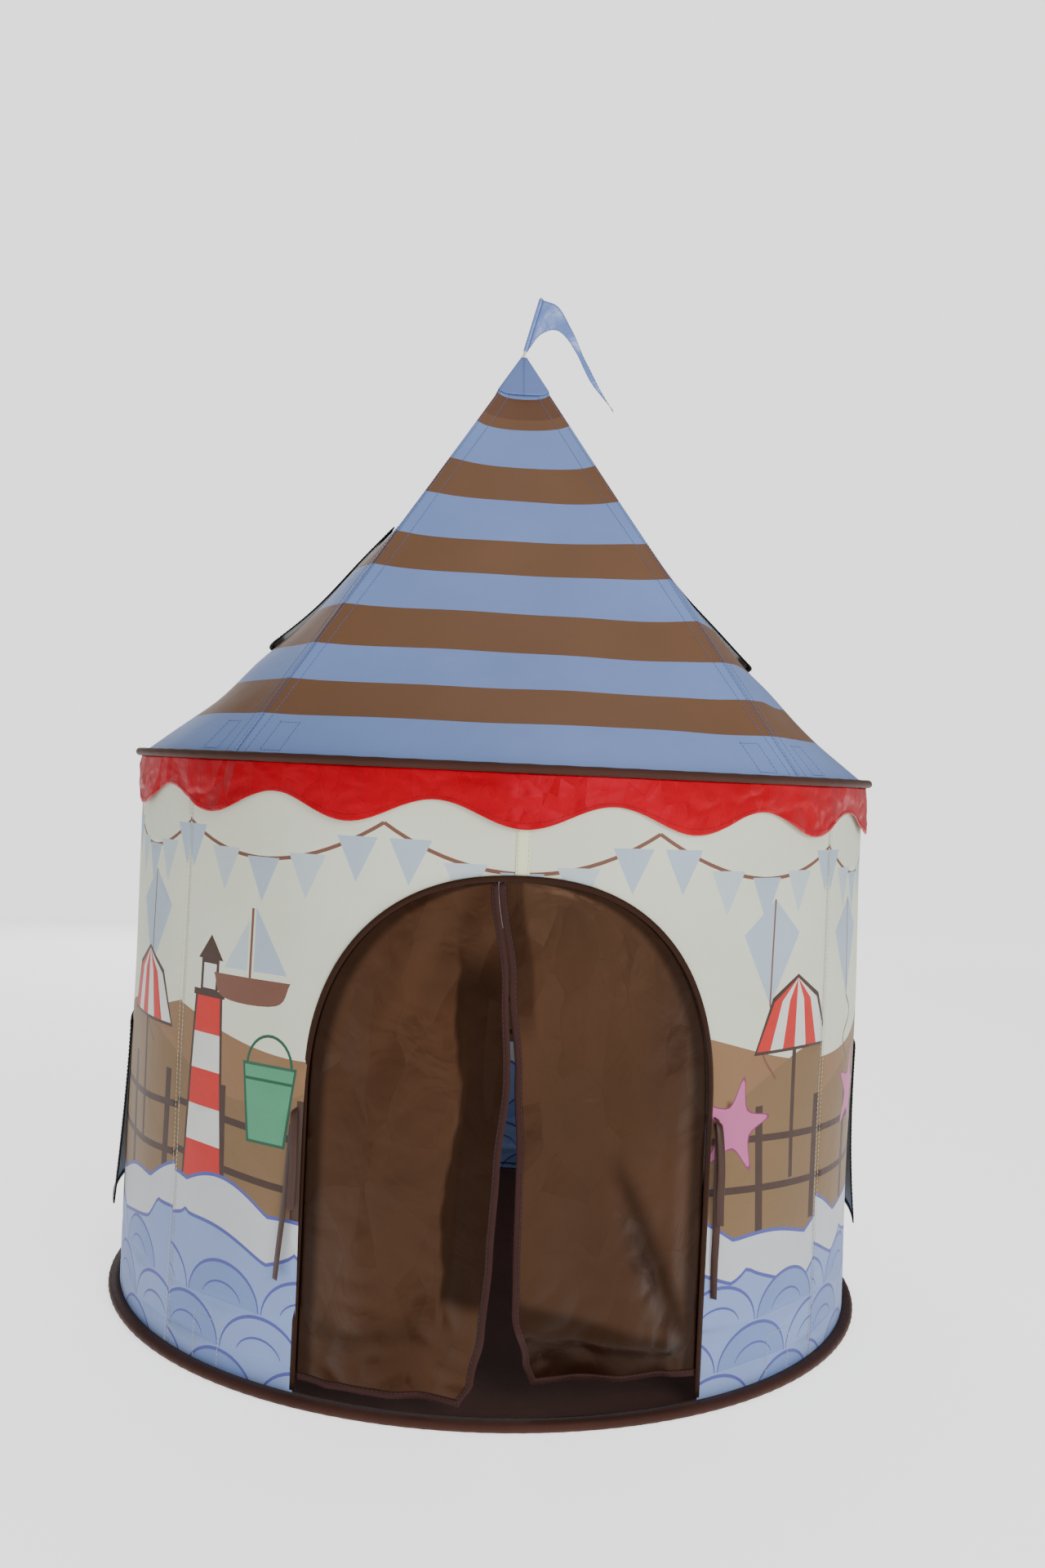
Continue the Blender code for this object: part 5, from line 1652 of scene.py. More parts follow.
            # A shallow fold is drawn up towards the shoulder of the arch.
            aside = (across + 0.17 - 0.5 * (height - 0.36)) / 0.022
            drawn = 0.0030 * np.exp(-aside ** 2) * slope((height - 0.3) / 0.1)
            return turned * depth * band - drawn
        # The foot is tucked in behind, a valley leans into it, and a pleat stands beside the arch.
        below = foot + 0.074 - 0.18 * (across - 0.03) - height
        tucked = -0.42 * below * slope(below / 0.02)
        valley = np.exp(-((across - 0.166 + self.valley_lean * (height - 0.19)) / 0.016) ** 2)
        held = slope((height - 0.07) / 0.05) * slope((0.30 - height) / 0.1)
        pleat = 0.0040 * np.exp(-((across - 0.196) / 0.013) ** 2) * slope((0.5 - height) / 0.2)
        return tucked * slope((across - 0.002) / 0.03) - 0.0100 * valley * held + pleat

    def build(self) -> None:
        """Build every piece of the doorway."""
        for side in SIDES:
            self.flap(side)
        self.piping()
        self.top_tape()
        for name in self.ties:
            self.tie(name)

    def flap(self, side: str) -> None:
        """One satin flap with its bound edge, sewn in along the arch.

        Args:
            side: Left or right.
        """
        foot, top, sign = self.flap_feet[side], self.flap_top(), SIDES[side]
        body = "door_" + side
        inset = self.binding * 0.4

        def place(u: Array, v: Array) -> Array:
            """Points on the piece."""
            return self.flap_point(side, u, v)

        def flat(u: Array, v: Array) -> Array:
            """Places on the flat cloth."""
            jamb = sign * self.half_at(v, self.clearance)
            return np.stack([jamb + (self.edge_at(side, v) - jamb) * u, v], axis=-1)

        rows = spaced([foot + inset, self.spring], 0.004)[:-1]
        arch_rows = self.arch(np.linspace(0, self.last_turn(), 70), self.clearance)[1]
        crown = self.top - self.clearance - (0.0008 if side == "left" else 0.00002)
        arch_rows = np.concatenate(
            [arch_rows, top + (crown - top) * np.array((0.3, 0.6, 0.85, 1.0))])
        # The satin's material darkens it by its share of double cloth and painted shade.
        cloth = cloth_grid(
            "door_satin_" + side, np.linspace(0, 0.988, 80), np.concatenate([rows, arch_rows]),
            place, flat, [DOOR_SATIN], layers=lambda u, v: self.doubled_and_painted_shade(side, u, v))
        line = [(u, foot) for u in np.linspace(0, 1, 60)[:-1]]
        line += [(1.0, v) for v in spaced([foot, top], 0.006)]
        path = np.array(line)
        inward = np.zeros_like(path)
        inward[:59, 1] = 1.0
        widths = np.abs(
            self.edge_at(side, path[59:, 1]) - sign * self.half_at(path[59:, 1], self.clearance))
        inward[59:, 0] = -1.0 / np.maximum(widths, 0.02)
        inward[59, 1] = 1.0
        tape = swept(
            "door_edge_tape_" + side, path, inward,
            tape_section(self.binding, self.binding_thickness),
            lambda u, v, lift: self.flap_point(side, u, v, lift), MAUVE_TAPE)
        stitched = path + inward * (self.binding - STITCH_INSET)
        SEWING.add(
            body,
            self.flap_point(
                side, stitched[:, 0], stitched[:, 1], self.binding_thickness / 2 + STITCH_LIFT),
            DARK_THREAD)
        stitches = SEWING.sew("door_edge_stitches_" + side, body, DARK_THREAD)
        across, ahead, up = self.bend_start
        middle = Vector((sign * across, ahead, up))
        way = Vector((-sign * self.bend_way[0], 0.0, -self.bend_way[1])) * self.bend_length
        line = (middle, middle + way)
        settle(cloth, body, ["door_flap_" + side], line)
        settle(tape, body, ["door_flap_binding_" + side], line)
        settle(stitches, body, line=line)
        declare_sheet(cloth)

    def piping(self) -> None:
        """Dark piping sewn round the opening."""
        rows = spaced([0.0145, self.spring], 0.01)[:-1]
        across, height = self.arch(np.linspace(0, math.pi, 90), -self.piping_offset)
        half = self.half_width + self.piping_offset
        line = [(half, z) for z in rows] + list(zip(across, height))
        line += [(-half, z) for z in rows[::-1]]
        path = np.array(line)
        way = np.gradient(path, axis=0)
        way /= np.linalg.norm(way, axis=1)[:, None]
        inward = np.stack([-way[:, 1], way[:, 0]], axis=1)
        section = [
            (-0.0020, 0.0), (-0.0012, 0.0013), (0.0012, 0.0015), (0.0042, 0.0010), (0.0052, 0.0),
            (0.0042, -0.0006), (-0.0012, -0.0008)]
        lift = THREAD_LIFT + CLOTH + self.piping_radius
        piece = swept(
            "door_piping", path, inward, section, lambda u, v, up: self.front(u, v, up + lift),
            PIPING)
        settle(piece, "tent", ["door_arch_piping"])

    def top_tape(self) -> None:
        """The pale tape from the arch up to the eave, with its two rows of stitches."""
        half = self.tape_width / 2
        low, high = self.top + self.piping_offset + 0.002, self.tape_top

        def place(u: Array, v: Array) -> Array:
            """Points on the piece."""
            return FORM.wall(u / WALL_CENTRE_RADIUS, v, 0.0011 + 0.0002 * np.cos(u / half * 2.2))

        piece = cloth_grid(
            "door_top_seam_tape", np.linspace(-half, half, 13), spaced([low, high], 0.004), place,
            lambda u, v: np.stack([u, v], axis=-1), [PALE_TAPE])
        for u in (-half + 0.002, half - 0.002):
            v = spaced([low, high], 0.004)
            SEWING.add("tent", FORM.wall(np.full_like(v, u / WALL_CENTRE_RADIUS), v, 0.0016))
        settle(piece, "tent", ["door_top_tape"])
        declare_sheet(piece)

    def tie(self, name: str) -> None:
        """One ribbon that hangs beside the doorway.

        Args:
            name: Which one.
        """
        route = np.array(self.ties[name])
        path = smooth_route(route, 60)
        way = np.gradient(path, axis=0)
        way /= np.linalg.norm(way, axis=1)[:, None]
        outward = path * np.array((1, 1, 0))
        outward /= np.linalg.norm(outward, axis=1)[:, None]
        side = np.cross(way, outward)
        side /= np.linalg.norm(side, axis=1)[:, None]
        up = np.cross(side, way)
        turn = np.radians(self.tie_twists[name]) * np.linspace(0, 1, len(path))[:, None]
        flat_way = side * np.cos(turn) + np.cross(way, side) * np.sin(turn)
        thick_way = up * np.cos(turn) + np.cross(way, up) * np.sin(turn)
        half, thin = self.tie_width / 2, self.tie_thickness / 2
        section = [
            (-half, 0.0), (-half * 0.92, thin), (0.0, thin * 1.3), (half * 0.92, thin), (half, 0.0),
            (half * 0.92, -thin), (0.0, -thin * 0.7), (-half * 0.92, -thin)]
        k = np.arange(len(path))

        def place(u: Array, v: Array, lift: Any) -> Array:
            """Points on the piece."""
            return path + flat_way * v[:, None] + thick_way * lift

        line = np.stack([k, np.zeros(len(k))], axis=1).astype(float)
        inward = np.tile((0.0, 1.0), (len(k), 1))
        piece = swept("door_ribbon_" + name, line, inward, section, place, RIBBON)
        settle(piece, "tent", ["door_tie_" + name])


def smooth_route(route: Array, count: int) -> Array:
    """Even samples of a smooth curve through a route's points.

    Args:
        route: The route's points.
        count: How many samples.

    Returns:
        The samples.
    """
    ends = np.vstack([2 * route[0] - route[1], route, 2 * route[-1] - route[-2]])
    place = np.linspace(0, len(route) - 1, count)
    k = np.minimum(place.astype(int), len(route) - 2)
    t = (place - k)[:, None]
    a, b, c, d = (ends[k + i] for i in range(4))
    cubic = (3 * b - a - 3 * c + d) * t ** 3
    return (2 * b + (c - a) * t + (2 * a - 5 * b + 4 * c - d) * t ** 2 + cubic) / 2


@dataclass
class Walls:
    """The four printed wall panels with their seams and pole pockets."""

    doorway: Doorway
    low: float = 0.0016
    high: float = 0.7352
    window_half_angle: float = math.radians(12)
    window_low: float = 0.145
    window_high: float = 0.345
    prints: dict[str, list[Shape]] = field(default_factory=dict)

    def build(self) -> None:
        """Build the panels."""
        for seed, (name, panel) in enumerate(WALL_PANELS.items()):
            half = panel.width / 2
            self.prints[name] = SeasidePrint(half, seed).draw(PICTURES[name])
            piece = self.panel(name, panel)
            settle(piece, "tent", ["wall_panel_" + name])
            declare_sheet(piece)
            self.seams(panel)

    def panel(self, name: str, panel: Panel) -> bpy.types.Object:
        """One printed panel, cut open for the doorway or a window.

        Args:
            name: Which one.
            panel: The panel.

        Returns:
            The piece.
        """
        half = panel.width / 2 - 0.00003

        def place(u: Array, v: Array) -> Array:
            """Points on the piece."""
            return FORM.wall(panel.middle + u / WALL_CENTRE_RADIUS, v)

        ring = rectangle((-half, self.low), (half, self.high), (PRINT_NET, PRINT_NET))
        if name == "front":
            foot = self.doorway.cut()
            ring = [(u, v) for u, v in ring if not (v == self.low and abs(u) <= foot[0][0] + 0.003)]
            low_left = [p for p in ring if p[1] == self.low and p[0] < 0]
            rest = [p for p in ring if not (p[1] == self.low and p[0] < 0)]
            inner = [(foot[-1][0], self.low)] + foot[::-1][1:-1] + [(foot[0][0], self.low)]
            ring = low_left + inner + rest
            return printed_cloth("wall_cloth_front", ring, self.prints[name], place, [WALL_CLOTH])
        if name in SIDES:
            wide = self.window_half_angle * WALL_CENTRE_RADIUS
            return self.with_window(name, ring, wide, place)
        return printed_cloth("wall_cloth_" + name, ring, self.prints[name], place, [WALL_CLOTH])

    def with_window(
            self, name: str, ring: list[Flat], wide: float, place: Place) -> bpy.types.Object:
        """A side panel whose outline runs in through a hairline cut and round its window.

        Args:
            name: Which one.
            ring: The ring's points.
            wide: Half the window's width on the cloth.
            place: Points from places on the cloth.

        Returns:
            The piece.
        """
        hole = rectangle((-wide, self.window_low), (wide, self.window_high), (PRINT_NET, PRINT_NET))
        foot = [k for k, p in enumerate(ring) if p[1] == self.low]
        first = min(foot, key=lambda k: abs(ring[k][0] + wide))
        back = hole[::-1]
        joined = ring[:first + 1] + back[-1:] + back[:-1] + back[-1:] + ring[first:]
        return printed_cloth("wall_cloth_" + name, joined, self.prints[name], place, [WALL_CLOTH])

    def seams(self, panel: Panel) -> None:
        """Sew the rows beside the seam at the panel's right edge, and the pole pockets' rows.

        Args:
            panel: The panel.
        """
        for corner in (ROOF_PANELS["front"].half, -ROOF_PANELS["front"].half):
            if panel.name in SIDES:
                break
            ring = np.array([(-0.022, 0.016), (-0.022, 0.066), (0.022, 0.066), (0.022, 0.016)])
            edge = np.vstack(
                [np.linspace(a, b, 10)[:-1] for a, b in zip(ring, ring[1:])] + [ring[-1:]])
            azimuth = panel.middle + corner + edge[:, 0] / WALL_CENTRE_RADIUS
            SEWING.add("tent", FORM.wall(azimuth, edge[:, 1], THREAD_LIFT))
        height = spaced([self.low + 0.014, self.high - 0.012], 0.01)
        for offset in (-0.004, 0.004):
            azimuth = panel.middle + panel.half + offset / WALL_CENTRE_RADIUS
            SEWING.add("tent", FORM.wall(np.full_like(height, azimuth), height, THREAD_LIFT))


@dataclass
class Roof:
    """The four striped roof panels with the cap over their tip."""

    top: float = 0.05
    setback: float = 0.0003
    vent_half_angle: float = math.radians(18)
    vent_top: float = 0.49
    vent_foot: float = 0.72
    cap_lift: float = 0.0034
    cap_runs: Flat = (0.012, 0.1195)
    slope: float = 0.7924

    def build(self) -> None:
        """Build the panels, the cap and the stitches beside the ridges."""
        for name, panel in ROOF_PANELS.items():
            piece = self.panel(name, panel)
            settle(piece, "tent", ["roof_panel_" + name])
            declare_sheet(piece)
            self.ridge_rows(panel)
        self.cap()

    def flat(self, panel: Panel) -> Place:
        """Places on a panel's flat cut.

        Args:
            panel: The panel.

        Returns:
            A function of azimuth and run.
        """
        def cut(azimuth: Array, run: Array) -> Array:
            """Places on the flat cloth."""
            return np.stack(
                [
                    (azimuth - panel.middle) * FORM.roof_reach(azimuth, run, panel),
                    -run * self.slope], axis=-1)
        return cut

    def panel(self, name: str, panel: Panel) -> bpy.types.Object:
        """One panel, open for a vent on the two sides.

        Args:
            name: Which one.
            panel: The panel.

        Returns:
            The piece.
        """
        hole = None
        across, along = [-panel.half, panel.half], [self.top, 1.0]
        if name in SIDES:
            hole = (
                panel.middle - self.vent_half_angle, panel.middle + self.vent_half_angle,
                self.vent_top, self.vent_foot)
            across = [-panel.half, -self.vent_half_angle, self.vent_half_angle, panel.half]
            along = [self.top, self.vent_top, self.vent_foot, 1.0]

        def place(azimuth: Array, run: Array) -> Array:
            """Points on the piece."""
            share = (azimuth - panel.middle) / panel.half
            reach = FORM.roof_reach(azimuth, run, panel)
            inner = azimuth - np.sign(share) * np.clip(
                np.abs(share) * 20 - 19, 0, 1) * self.setback / reach
            return FORM.roof(inner, run, 0.0, panel)

        return cloth_grid(
            "roof_cloth_" + name, panel.middle + spaced(across, 0.012), spaced(along, 0.008), place,
            self.flat(panel), [ROOF_CLOTH], hole=hole, run=True)

    def ridge_rows(self, panel: Panel) -> None:
        """Stitches close beside each ridge, and the row that closes the pole's sleeve.

        Args:
            panel: The panel.
        """
        run = spaced([0.11, 0.995], 0.01)
        for side in (-1, 1):
            for inset in (0.003, 0.017):
                reach = FORM.roof_reach(
                    np.full_like(run, panel.middle + side * panel.half), run, panel)
                azimuth = panel.middle + side * (panel.half - inset / reach)
                SEWING.add("tent", FORM.roof(azimuth, run, THREAD_LIFT, panel), BLUE_THREAD)
            foot = panel.middle + side * (panel.half - 0.055 / FORM.roof_radius)
            ring = np.array([(-1, 0.93), (1, 0.93), (1, 0.988), (-1, 0.988), (-1, 0.93)])
            corners = np.vstack(
                [np.linspace(a, b, 8)[:-1] for a, b in zip(ring, ring[1:])] + [ring[-1:]])
            SEWING.add(
                "tent", FORM.roof(foot + corners[:, 0] * 0.03, corners[:, 1], THREAD_LIFT, panel),
                BLUE_THREAD)

    def cap(self) -> None:
        """The small plain cap over the tip."""
        low, high = self.cap_runs
        first, *rest = ROOF_PANELS.values()
        corners = [first.middle - first.half, first.middle + first.half]
        corners += [panel.middle % math.tau + panel.half for panel in rest]
        turns = spaced(corners, 0.08)

        def place(azimuth: Array, run: Array) -> Array:
            """Points on the piece."""
            out = np.zeros(azimuth.shape + (3,))
            for panel in ROOF_PANELS.values():
                off = (azimuth - panel.middle + math.pi) % math.tau - math.pi
                mine = np.abs(off) <= panel.half + 1e-6
                turn = panel.middle + off
                drawn_up = run * (
                    1 - 0.105 * (np.abs(off) / ROOF_PANELS["front"].half).clip(0, 1) ** 5)
                reach = FORM.roof_reach(turn, drawn_up, panel)
                height = FORM.apex_height - FORM.roof_rise * drawn_up + self.cap_lift
                out[mine] = polar(turn, reach, height)[mine]
            return out

        piece = cloth_grid(
            "roof_tip_cap", turns, spaced([low, high], 0.006), place,
            lambda a, t: np.stack([a * t * 0.45, -t * self.slope], axis=-1), [CAP_CLOTH],
            round_tent=True)
        settle(piece, "tent", ["apex_cap"])
        declare_sheet(piece)
        seam = spaced([0.02, high - 0.002], 0.004)
        for side in (-0.0012, 0.0012):
            SEWING.add(
                "tent",
                place(side / (FORM.roof_radius * seam), seam) - np.array((0, THREAD_LIFT, 0)),
                BLUE_THREAD)


# The frill's sums, each with its name, its operation and its terms: first its outline, then its
# crumples, which read the noise laid over that outline.
FRILL_OUTLINE = (
    ("share", "SUBTRACT", 0.5, "grid_y"), ("angle", "MULTIPLY", "azimuth", "Scallops"),
    ("wave", "COSINE", "angle"), ("mean_foot", "SUBTRACT", "Hoop Height", "Mean Drop"),
    ("scallop", "MULTIPLY", "Scallop Depth", "wave"), ("foot", "SUBTRACT", "mean_foot", "scallop"),
    ("fall", "SUBTRACT", "foot", "Top Height"),
    ("height", "MULTIPLY_ADD", "fall", "share", "Top Height"), ("sine", "SINE", "azimuth"),
    ("ahead", "COSINE", "azimuth"), ("cosine", "MULTIPLY", "ahead", -1.0),
    ("drawn_height", "MULTIPLY", "height", 3.0))
FRILL_CRUMPLES = (
    ("noise_off", "SUBTRACT", "noise", 0.5), ("ridge", "ABSOLUTE", "noise_off"),
    ("full_crumple", "MULTIPLY", "ridge", "Crumple"), ("below_seam", "MULTIPLY", "share", 3.0),
    ("free", "MINIMUM", "below_seam", 1.0), ("crumple", "MULTIPLY", "full_crumple", "free"),
    ("swing", "MULTIPLY_ADD", "Swing", "wave", "Flare"),
    ("calm_reach", "MULTIPLY_ADD", "swing", "share", "Top Reach"),
    ("reach", "ADD", "calm_reach", "crumple"), ("x", "MULTIPLY", "reach", "sine"),
    ("y", "MULTIPLY", "reach", "cosine"), ("flat_x", "MULTIPLY", "azimuth", "Top Reach"),
    ("down", "MULTIPLY", "share", -1.0), ("flat_y", "MULTIPLY", "down", "Mean Drop"))


@dataclass
class Eave:
    """The brown sleeve round the eave hoop, and the scalloped red valance under it."""

    reach: float = 0.5197
    height: float = 0.7358
    sleeve_radius: float = 0.0050
    scallops: int = 16
    top: float = 0.7305
    top_reach: float = 0.5167
    mean_drop: float = 0.0535
    depth: float = 0.0145
    flare: float = 0.0025
    wave: float = 0.0016
    crumple: float = 0.012
    seed: int = 5
    columns: int = 961
    rows: int = 29
    hem_row: int = 3
    slit: float = 0.12

    def build(self) -> None:
        """Build both pieces and their stitches."""
        around, turns = np.linspace(-math.pi, math.pi, 361), np.linspace(
            math.pi - self.slit, self.slit - math.pi, 15)

        def sleeve(azimuth: Array, turn: Array) -> Array:
            """Points round the hoop's sleeve."""
            pucker = 1 + 0.05 * np.sin(azimuth * 180) + 0.04 * np.sin(azimuth * 77 + turn)
            radius = self.sleeve_radius * pucker
            return polar(
                azimuth, self.reach + radius * np.cos(turn), self.height + radius * np.sin(turn))

        binding = cloth_grid(
            "eave_binding_cloth", around, turns, sleeve,
            lambda a, t: np.stack([a * self.reach, t * self.sleeve_radius], axis=-1), [HEM_CLOTH],
            round_tent=True)
        settle(binding, "tent", ["eave_binding"])
        declare_sheet(binding)
        self.valance()

    def valance_tree(self) -> bpy.types.NodeTree:
        """A tree that lays out a round scalloped frill from its sizes.

        Returns:
            The tree, with the frill's sizes, its noise seed and its cloth as inputs.
        """
        sizes = (
            "Top Reach", "Top Height", "Hoop Height", "Mean Drop", "Scallop Depth", "Flare",
            "Swing", "Crumple")
        inputs = {name: "NodeSocketFloat" for name in sizes} | {
            "Scallops": "NodeSocketInt", "Columns": "NodeSocketInt", "Rows": "NodeSocketInt",
            "Seed": "NodeSocketInt", "Cloth": "NodeSocketMaterial"}
        tree, start, end = node_tree("scalloped_frill", inputs)
        grid = add_node(
            tree, "GeometryNodeMeshGrid",
            inputs={
                "Size X": math.tau, "Size Y": 1.0, "Vertices X": start.outputs["Columns"],
                "Vertices Y": start.outputs["Rows"]})
        spot = add_node(
            tree, "ShaderNodeSeparateXYZ",
            inputs={0: add_node(tree, "GeometryNodeInputPosition").outputs[0]})
        given = {socket.name: socket for socket in start.outputs}
        given |= {"azimuth": spot.outputs[0], "grid_y": spot.outputs[1]}
        for sums in (FRILL_OUTLINE, FRILL_CRUMPLES):
            for name, operation, *terms in sums:
                inputs = {
                    k: given[term] if isinstance(term, str) else term
                    for k, term in enumerate(terms)}
                node = add_node(tree, "ShaderNodeMath", {"operation": operation}, inputs)
                given[name] = node.outputs[0]
            if "noise" not in given:
                spread = add_node(
                    tree, "ShaderNodeCombineXYZ",
                    inputs={0: given["sine"], 1: given["cosine"], 2: given["drawn_height"]})
                noise = add_node(
                    tree, "ShaderNodeTexNoise", {"noise_dimensions": "4D"},
                    {
                        "Scale": 7.0, "Detail": 2.5, "Distortion": 0.4, "Vector": spread.outputs[0],
                        "W": given["Seed"]})
                given["noise"] = noise.outputs[0]
        place = add_node(
            tree, "ShaderNodeCombineXYZ", inputs={0: given["x"], 1: given["y"], 2: given["height"]})
        cut = add_node(
            tree, "ShaderNodeCombineXYZ", inputs={0: given["flat_x"], 1: given["flat_y"]})
        marked = add_node(
            tree, "GeometryNodeStoreNamedAttribute", {"data_type": "FLOAT2", "domain": "CORNER"},
            {"Name": "flat", "Geometry": grid.outputs["Mesh"], "Value": cut.outputs[0]})
        moved = add_node(
            tree, "GeometryNodeSetPosition",
            inputs={"Geometry": marked.outputs[0], "Position": place.outputs[0]})
        smooth = add_node(tree, "GeometryNodeSetShadeSmooth", inputs={"Geometry": moved.outputs[0]})
        return end_tree(tree, end, smooth.outputs[0], given["Cloth"])

    def valance(self) -> None:
        """The scalloped frill, and the row of stitches along its hem."""
        columns, rows = self.columns, self.rows
        piece = apply_tree(
            link("valance_cloth", bpy.data.meshes.new("valance_start")), self.valance_tree(),
            {
                "Top Reach": self.top_reach, "Top Height": self.top, "Hoop Height": self.height,
                "Mean Drop": self.mean_drop, "Scallop Depth": self.depth, "Flare": self.flare,
                "Swing": self.wave, "Crumple": self.crumple, "Scallops": self.scallops,
                "Columns": columns, "Rows": rows, "Seed": self.seed, "Cloth": RED_SATIN.material()})
        points = np.zeros(len(piece.data.vertices) * 3, np.float32)
        piece.data.vertices.foreach_get("co", points)
        points = points.reshape(columns, rows, 3).astype(float)
        hem_row = points[:, self.hem_row]
        SEWING.add(
            "tent", hem_row + polar(np.linspace(-math.pi, math.pi, columns), THREAD_LIFT, 0.0),
            RED_THREAD)
        rework(piece.data, join_corners, drop_loose)
        outer = piece.data.polygons[0]
        if outer.normal.dot(Vector((outer.center.x, outer.center.y, 0))) < 0:
            piece.data.flip_normals()
        settle(thicken(piece), "tent", ["valance"])
        declare_sheet(piece)


@dataclass
class Base:
    """The brown hem round the base hoop, and the floor cloth."""

    hem_reach: float = 0.5261
    sleeve_radius: float = 0.0056
    lip_reach: float = 0.5141
    floor_radius: float = 0.5133

    def build(self) -> None:
        """Build the hem and the floor."""
        middle = self.sleeve_radius + 0.0004
        turns = [math.pi / 2 - math.pi * k / 10 for k in range(11)]
        outline = [(self.lip_reach, middle + self.sleeve_radius)]
        outline += [
            (
                self.hem_reach + self.sleeve_radius * math.cos(t),
                middle + self.sleeve_radius * math.sin(t)) for t in turns]
        outline.append((self.lip_reach, middle - self.sleeve_radius))
        row = np.array(outline)
        along = np.concatenate([[0], np.cumsum(np.linalg.norm(np.diff(row, axis=0), axis=1))])

        def place(azimuth: Array, share: Array) -> Array:
            """Points on the piece."""
            reach, height = np.interp(share, along, row[:, 0]), np.interp(share, along, row[:, 1])
            pucker = 0.0004 * np.sin(azimuth * 150) * np.sin(math.pi * share / along[-1])
            return polar(azimuth, reach + pucker, height)

        hem = cloth_grid(
            "base_hem_cloth", np.linspace(-math.pi, math.pi, 361), along, place,
            lambda a, s: np.stack([a * self.hem_reach, s], axis=-1), [HEM_CLOTH], round_tent=True)
        settle(hem, "tent", ["base_hem"])
        declare_sheet(hem)
        azimuth = np.linspace(-math.pi, math.pi, 600)
        SEWING.add(
            "tent",
            polar(azimuth, np.full_like(azimuth, 0.5185), np.full_like(azimuth, 2 * middle)),
            DARK_THREAD)

        def disc(azimuth: Array, reach: Array) -> Array:
            """Points on the floor."""
            wave = 0.0003 * ripple(polar(azimuth, reach, 0 * reach), 61, 0.2)
            return polar(azimuth, reach, 0.0007 + np.abs(wave))

        floor = cloth_grid(
            "floor_cloth", np.linspace(-math.pi, math.pi, 121),
            spaced([0.0, self.floor_radius], 0.02), disc,
            lambda a, r: np.stack([r * np.sin(a), -r * np.cos(a)], axis=-1), [HEM_CLOTH],
            round_tent=True)
        settle(floor, "tent", ["floor_sheet"])
        declare_sheet(floor)


def hang_net(
        kind: str, side: str, stops: tuple[Array, Array], place: Place
) -> None:
    """Stretch a net behind a window or vent.

    Args:
        kind: "window" or "vent".
        side: Left or right.
        stops: The threads' stops across and along.
        place: Points from both stops.
    """
    across, along = stops
    lines = [place(across, np.full_like(across, v)) for v in along]
    lines += [place(np.full_like(along, u), along) for u in across]
    piece = SEWING.net(f"{kind}_netting_{side}", lines)
    settle(piece, "tent", [f"{kind}_net_{side}"])


def hang_flap(
        kind: str, side: str, flap: bpy.types.Object, rim: tuple[Array, Array],
        tape_size: Flat, place: Lifted, line: tuple[Vector, Vector] | None = None
) -> None:
    """Bind a window's or vent's flap in black tape, sew the tape on and hang the flap.

    Args:
        kind: "window" or "vent".
        side: Left or right.
        flap: The flap's cloth.
        rim: Its outline and the inward way.
        tape_size: The tape's width and thickness.
        place: Points from both stops and a lift.
        line: Where its bend would start and end; given one, the flap stays fixed.
    """
    (path, inward), (width, thickness) = rim, tape_size
    body, node = f"{kind}_{side}", f"{kind}_flap_{side}"
    tape = swept(
        f"{kind}_flap_edge_tape_{side}", path, inward, tape_section(width, thickness), place,
        BLACK_TAPE, closed=True)
    row = path + inward * (width - STITCH_INSET)
    row = np.vstack([row, row[:1]])
    SEWING.add(body, place(row[:, 0], row[:, 1], thickness / 2 + STITCH_LIFT))
    stitches = SEWING.sew(f"{kind}_flap_stitches_{side}", body)
    settle(flap, body, [node], line)
    settle(tape, body, [node + "_binding"], line)
    settle(stitches, body, line=line)
    declare_sheet(flap)


@dataclass
class Windows:
    """A net and a bound outside flap over each side window."""

    walls: Walls
    flap_half: float = 0.131
    flap_low: float = 0.120
    flap_high: float = 0.370
    stand_off: float = 0.011
    first_lift: float = 0.0024
    binding: float = 0.008
    thickness: float = 0.0022
    net_margin: float = 0.013
    net_cell: float = 0.004
    net_depth: float = 0.0022
    steps: Flat = (0.008, 0.008)
    hinge_reach: float = 0.516
    bend_length: float = 0.03

    def build(self) -> None:
        """Build both windows."""
        for side in SIDES:
            self.net(side)
            self.flap(side)

    def net(self, side: str) -> None:
        """The net behind the opening.

        Args:
            side: Left or right.
        """
        middle = WALL_PANELS[side].middle
        wide = self.walls.window_half_angle + self.net_margin / WALL_CENTRE_RADIUS
        low = self.walls.window_low - self.net_margin
        high = self.walls.window_high + self.net_margin
        azimuths = spaced([middle - wide, middle + wide], self.net_cell / WALL_CENTRE_RADIUS)
        heights = spaced([low, high], self.net_cell)
        hang_net(
            "window", side, (azimuths, heights), lambda a, z: FORM.wall(a, z, -self.net_depth))

    def flap(self, side: str) -> None:
        """The printed flap, lined in pale cloth and bound in black, that hangs over the opening.

        Args:
            side: Left or right.
        """
        panel = WALL_PANELS[side]

        def lift_at(v: Array) -> Array:
            """How far the flap stands off the wall at a height."""
            drop = (self.flap_high - v) / (self.flap_high - self.flap_low)
            return self.first_lift + self.stand_off * drop ** 2

        def on_wall(u: Array, v: Array, lift: Any) -> Array:
            """Points on the flap over the wall."""
            return FORM.wall(panel.middle + u / WALL_CENTRE_RADIUS, v, lift_at(v) + lift)

        edge = self.binding * 0.5
        ring = rectangle(
            (-self.flap_half + edge, self.flap_low + edge),
            (self.flap_half - edge, self.flap_high - edge), self.steps)
        cloth = printed_cloth(
            "window_flap_cloth_" + side, ring, self.walls.prints[side],
            lambda u, v: on_wall(u, v, 0.0), [WALL_CLOTH, LINING])
        rim = framed_line(
            (-self.flap_half, self.flap_low), (self.flap_half, self.flap_high), self.steps)
        hinge = Vector((math.sin(panel.middle) * self.hinge_reach, 0, self.flap_high))
        hang_flap(
            "window", side, cloth, rim, (self.binding, self.thickness), on_wall,
            (hinge, hinge - Vector((0, 0, self.bend_length))))


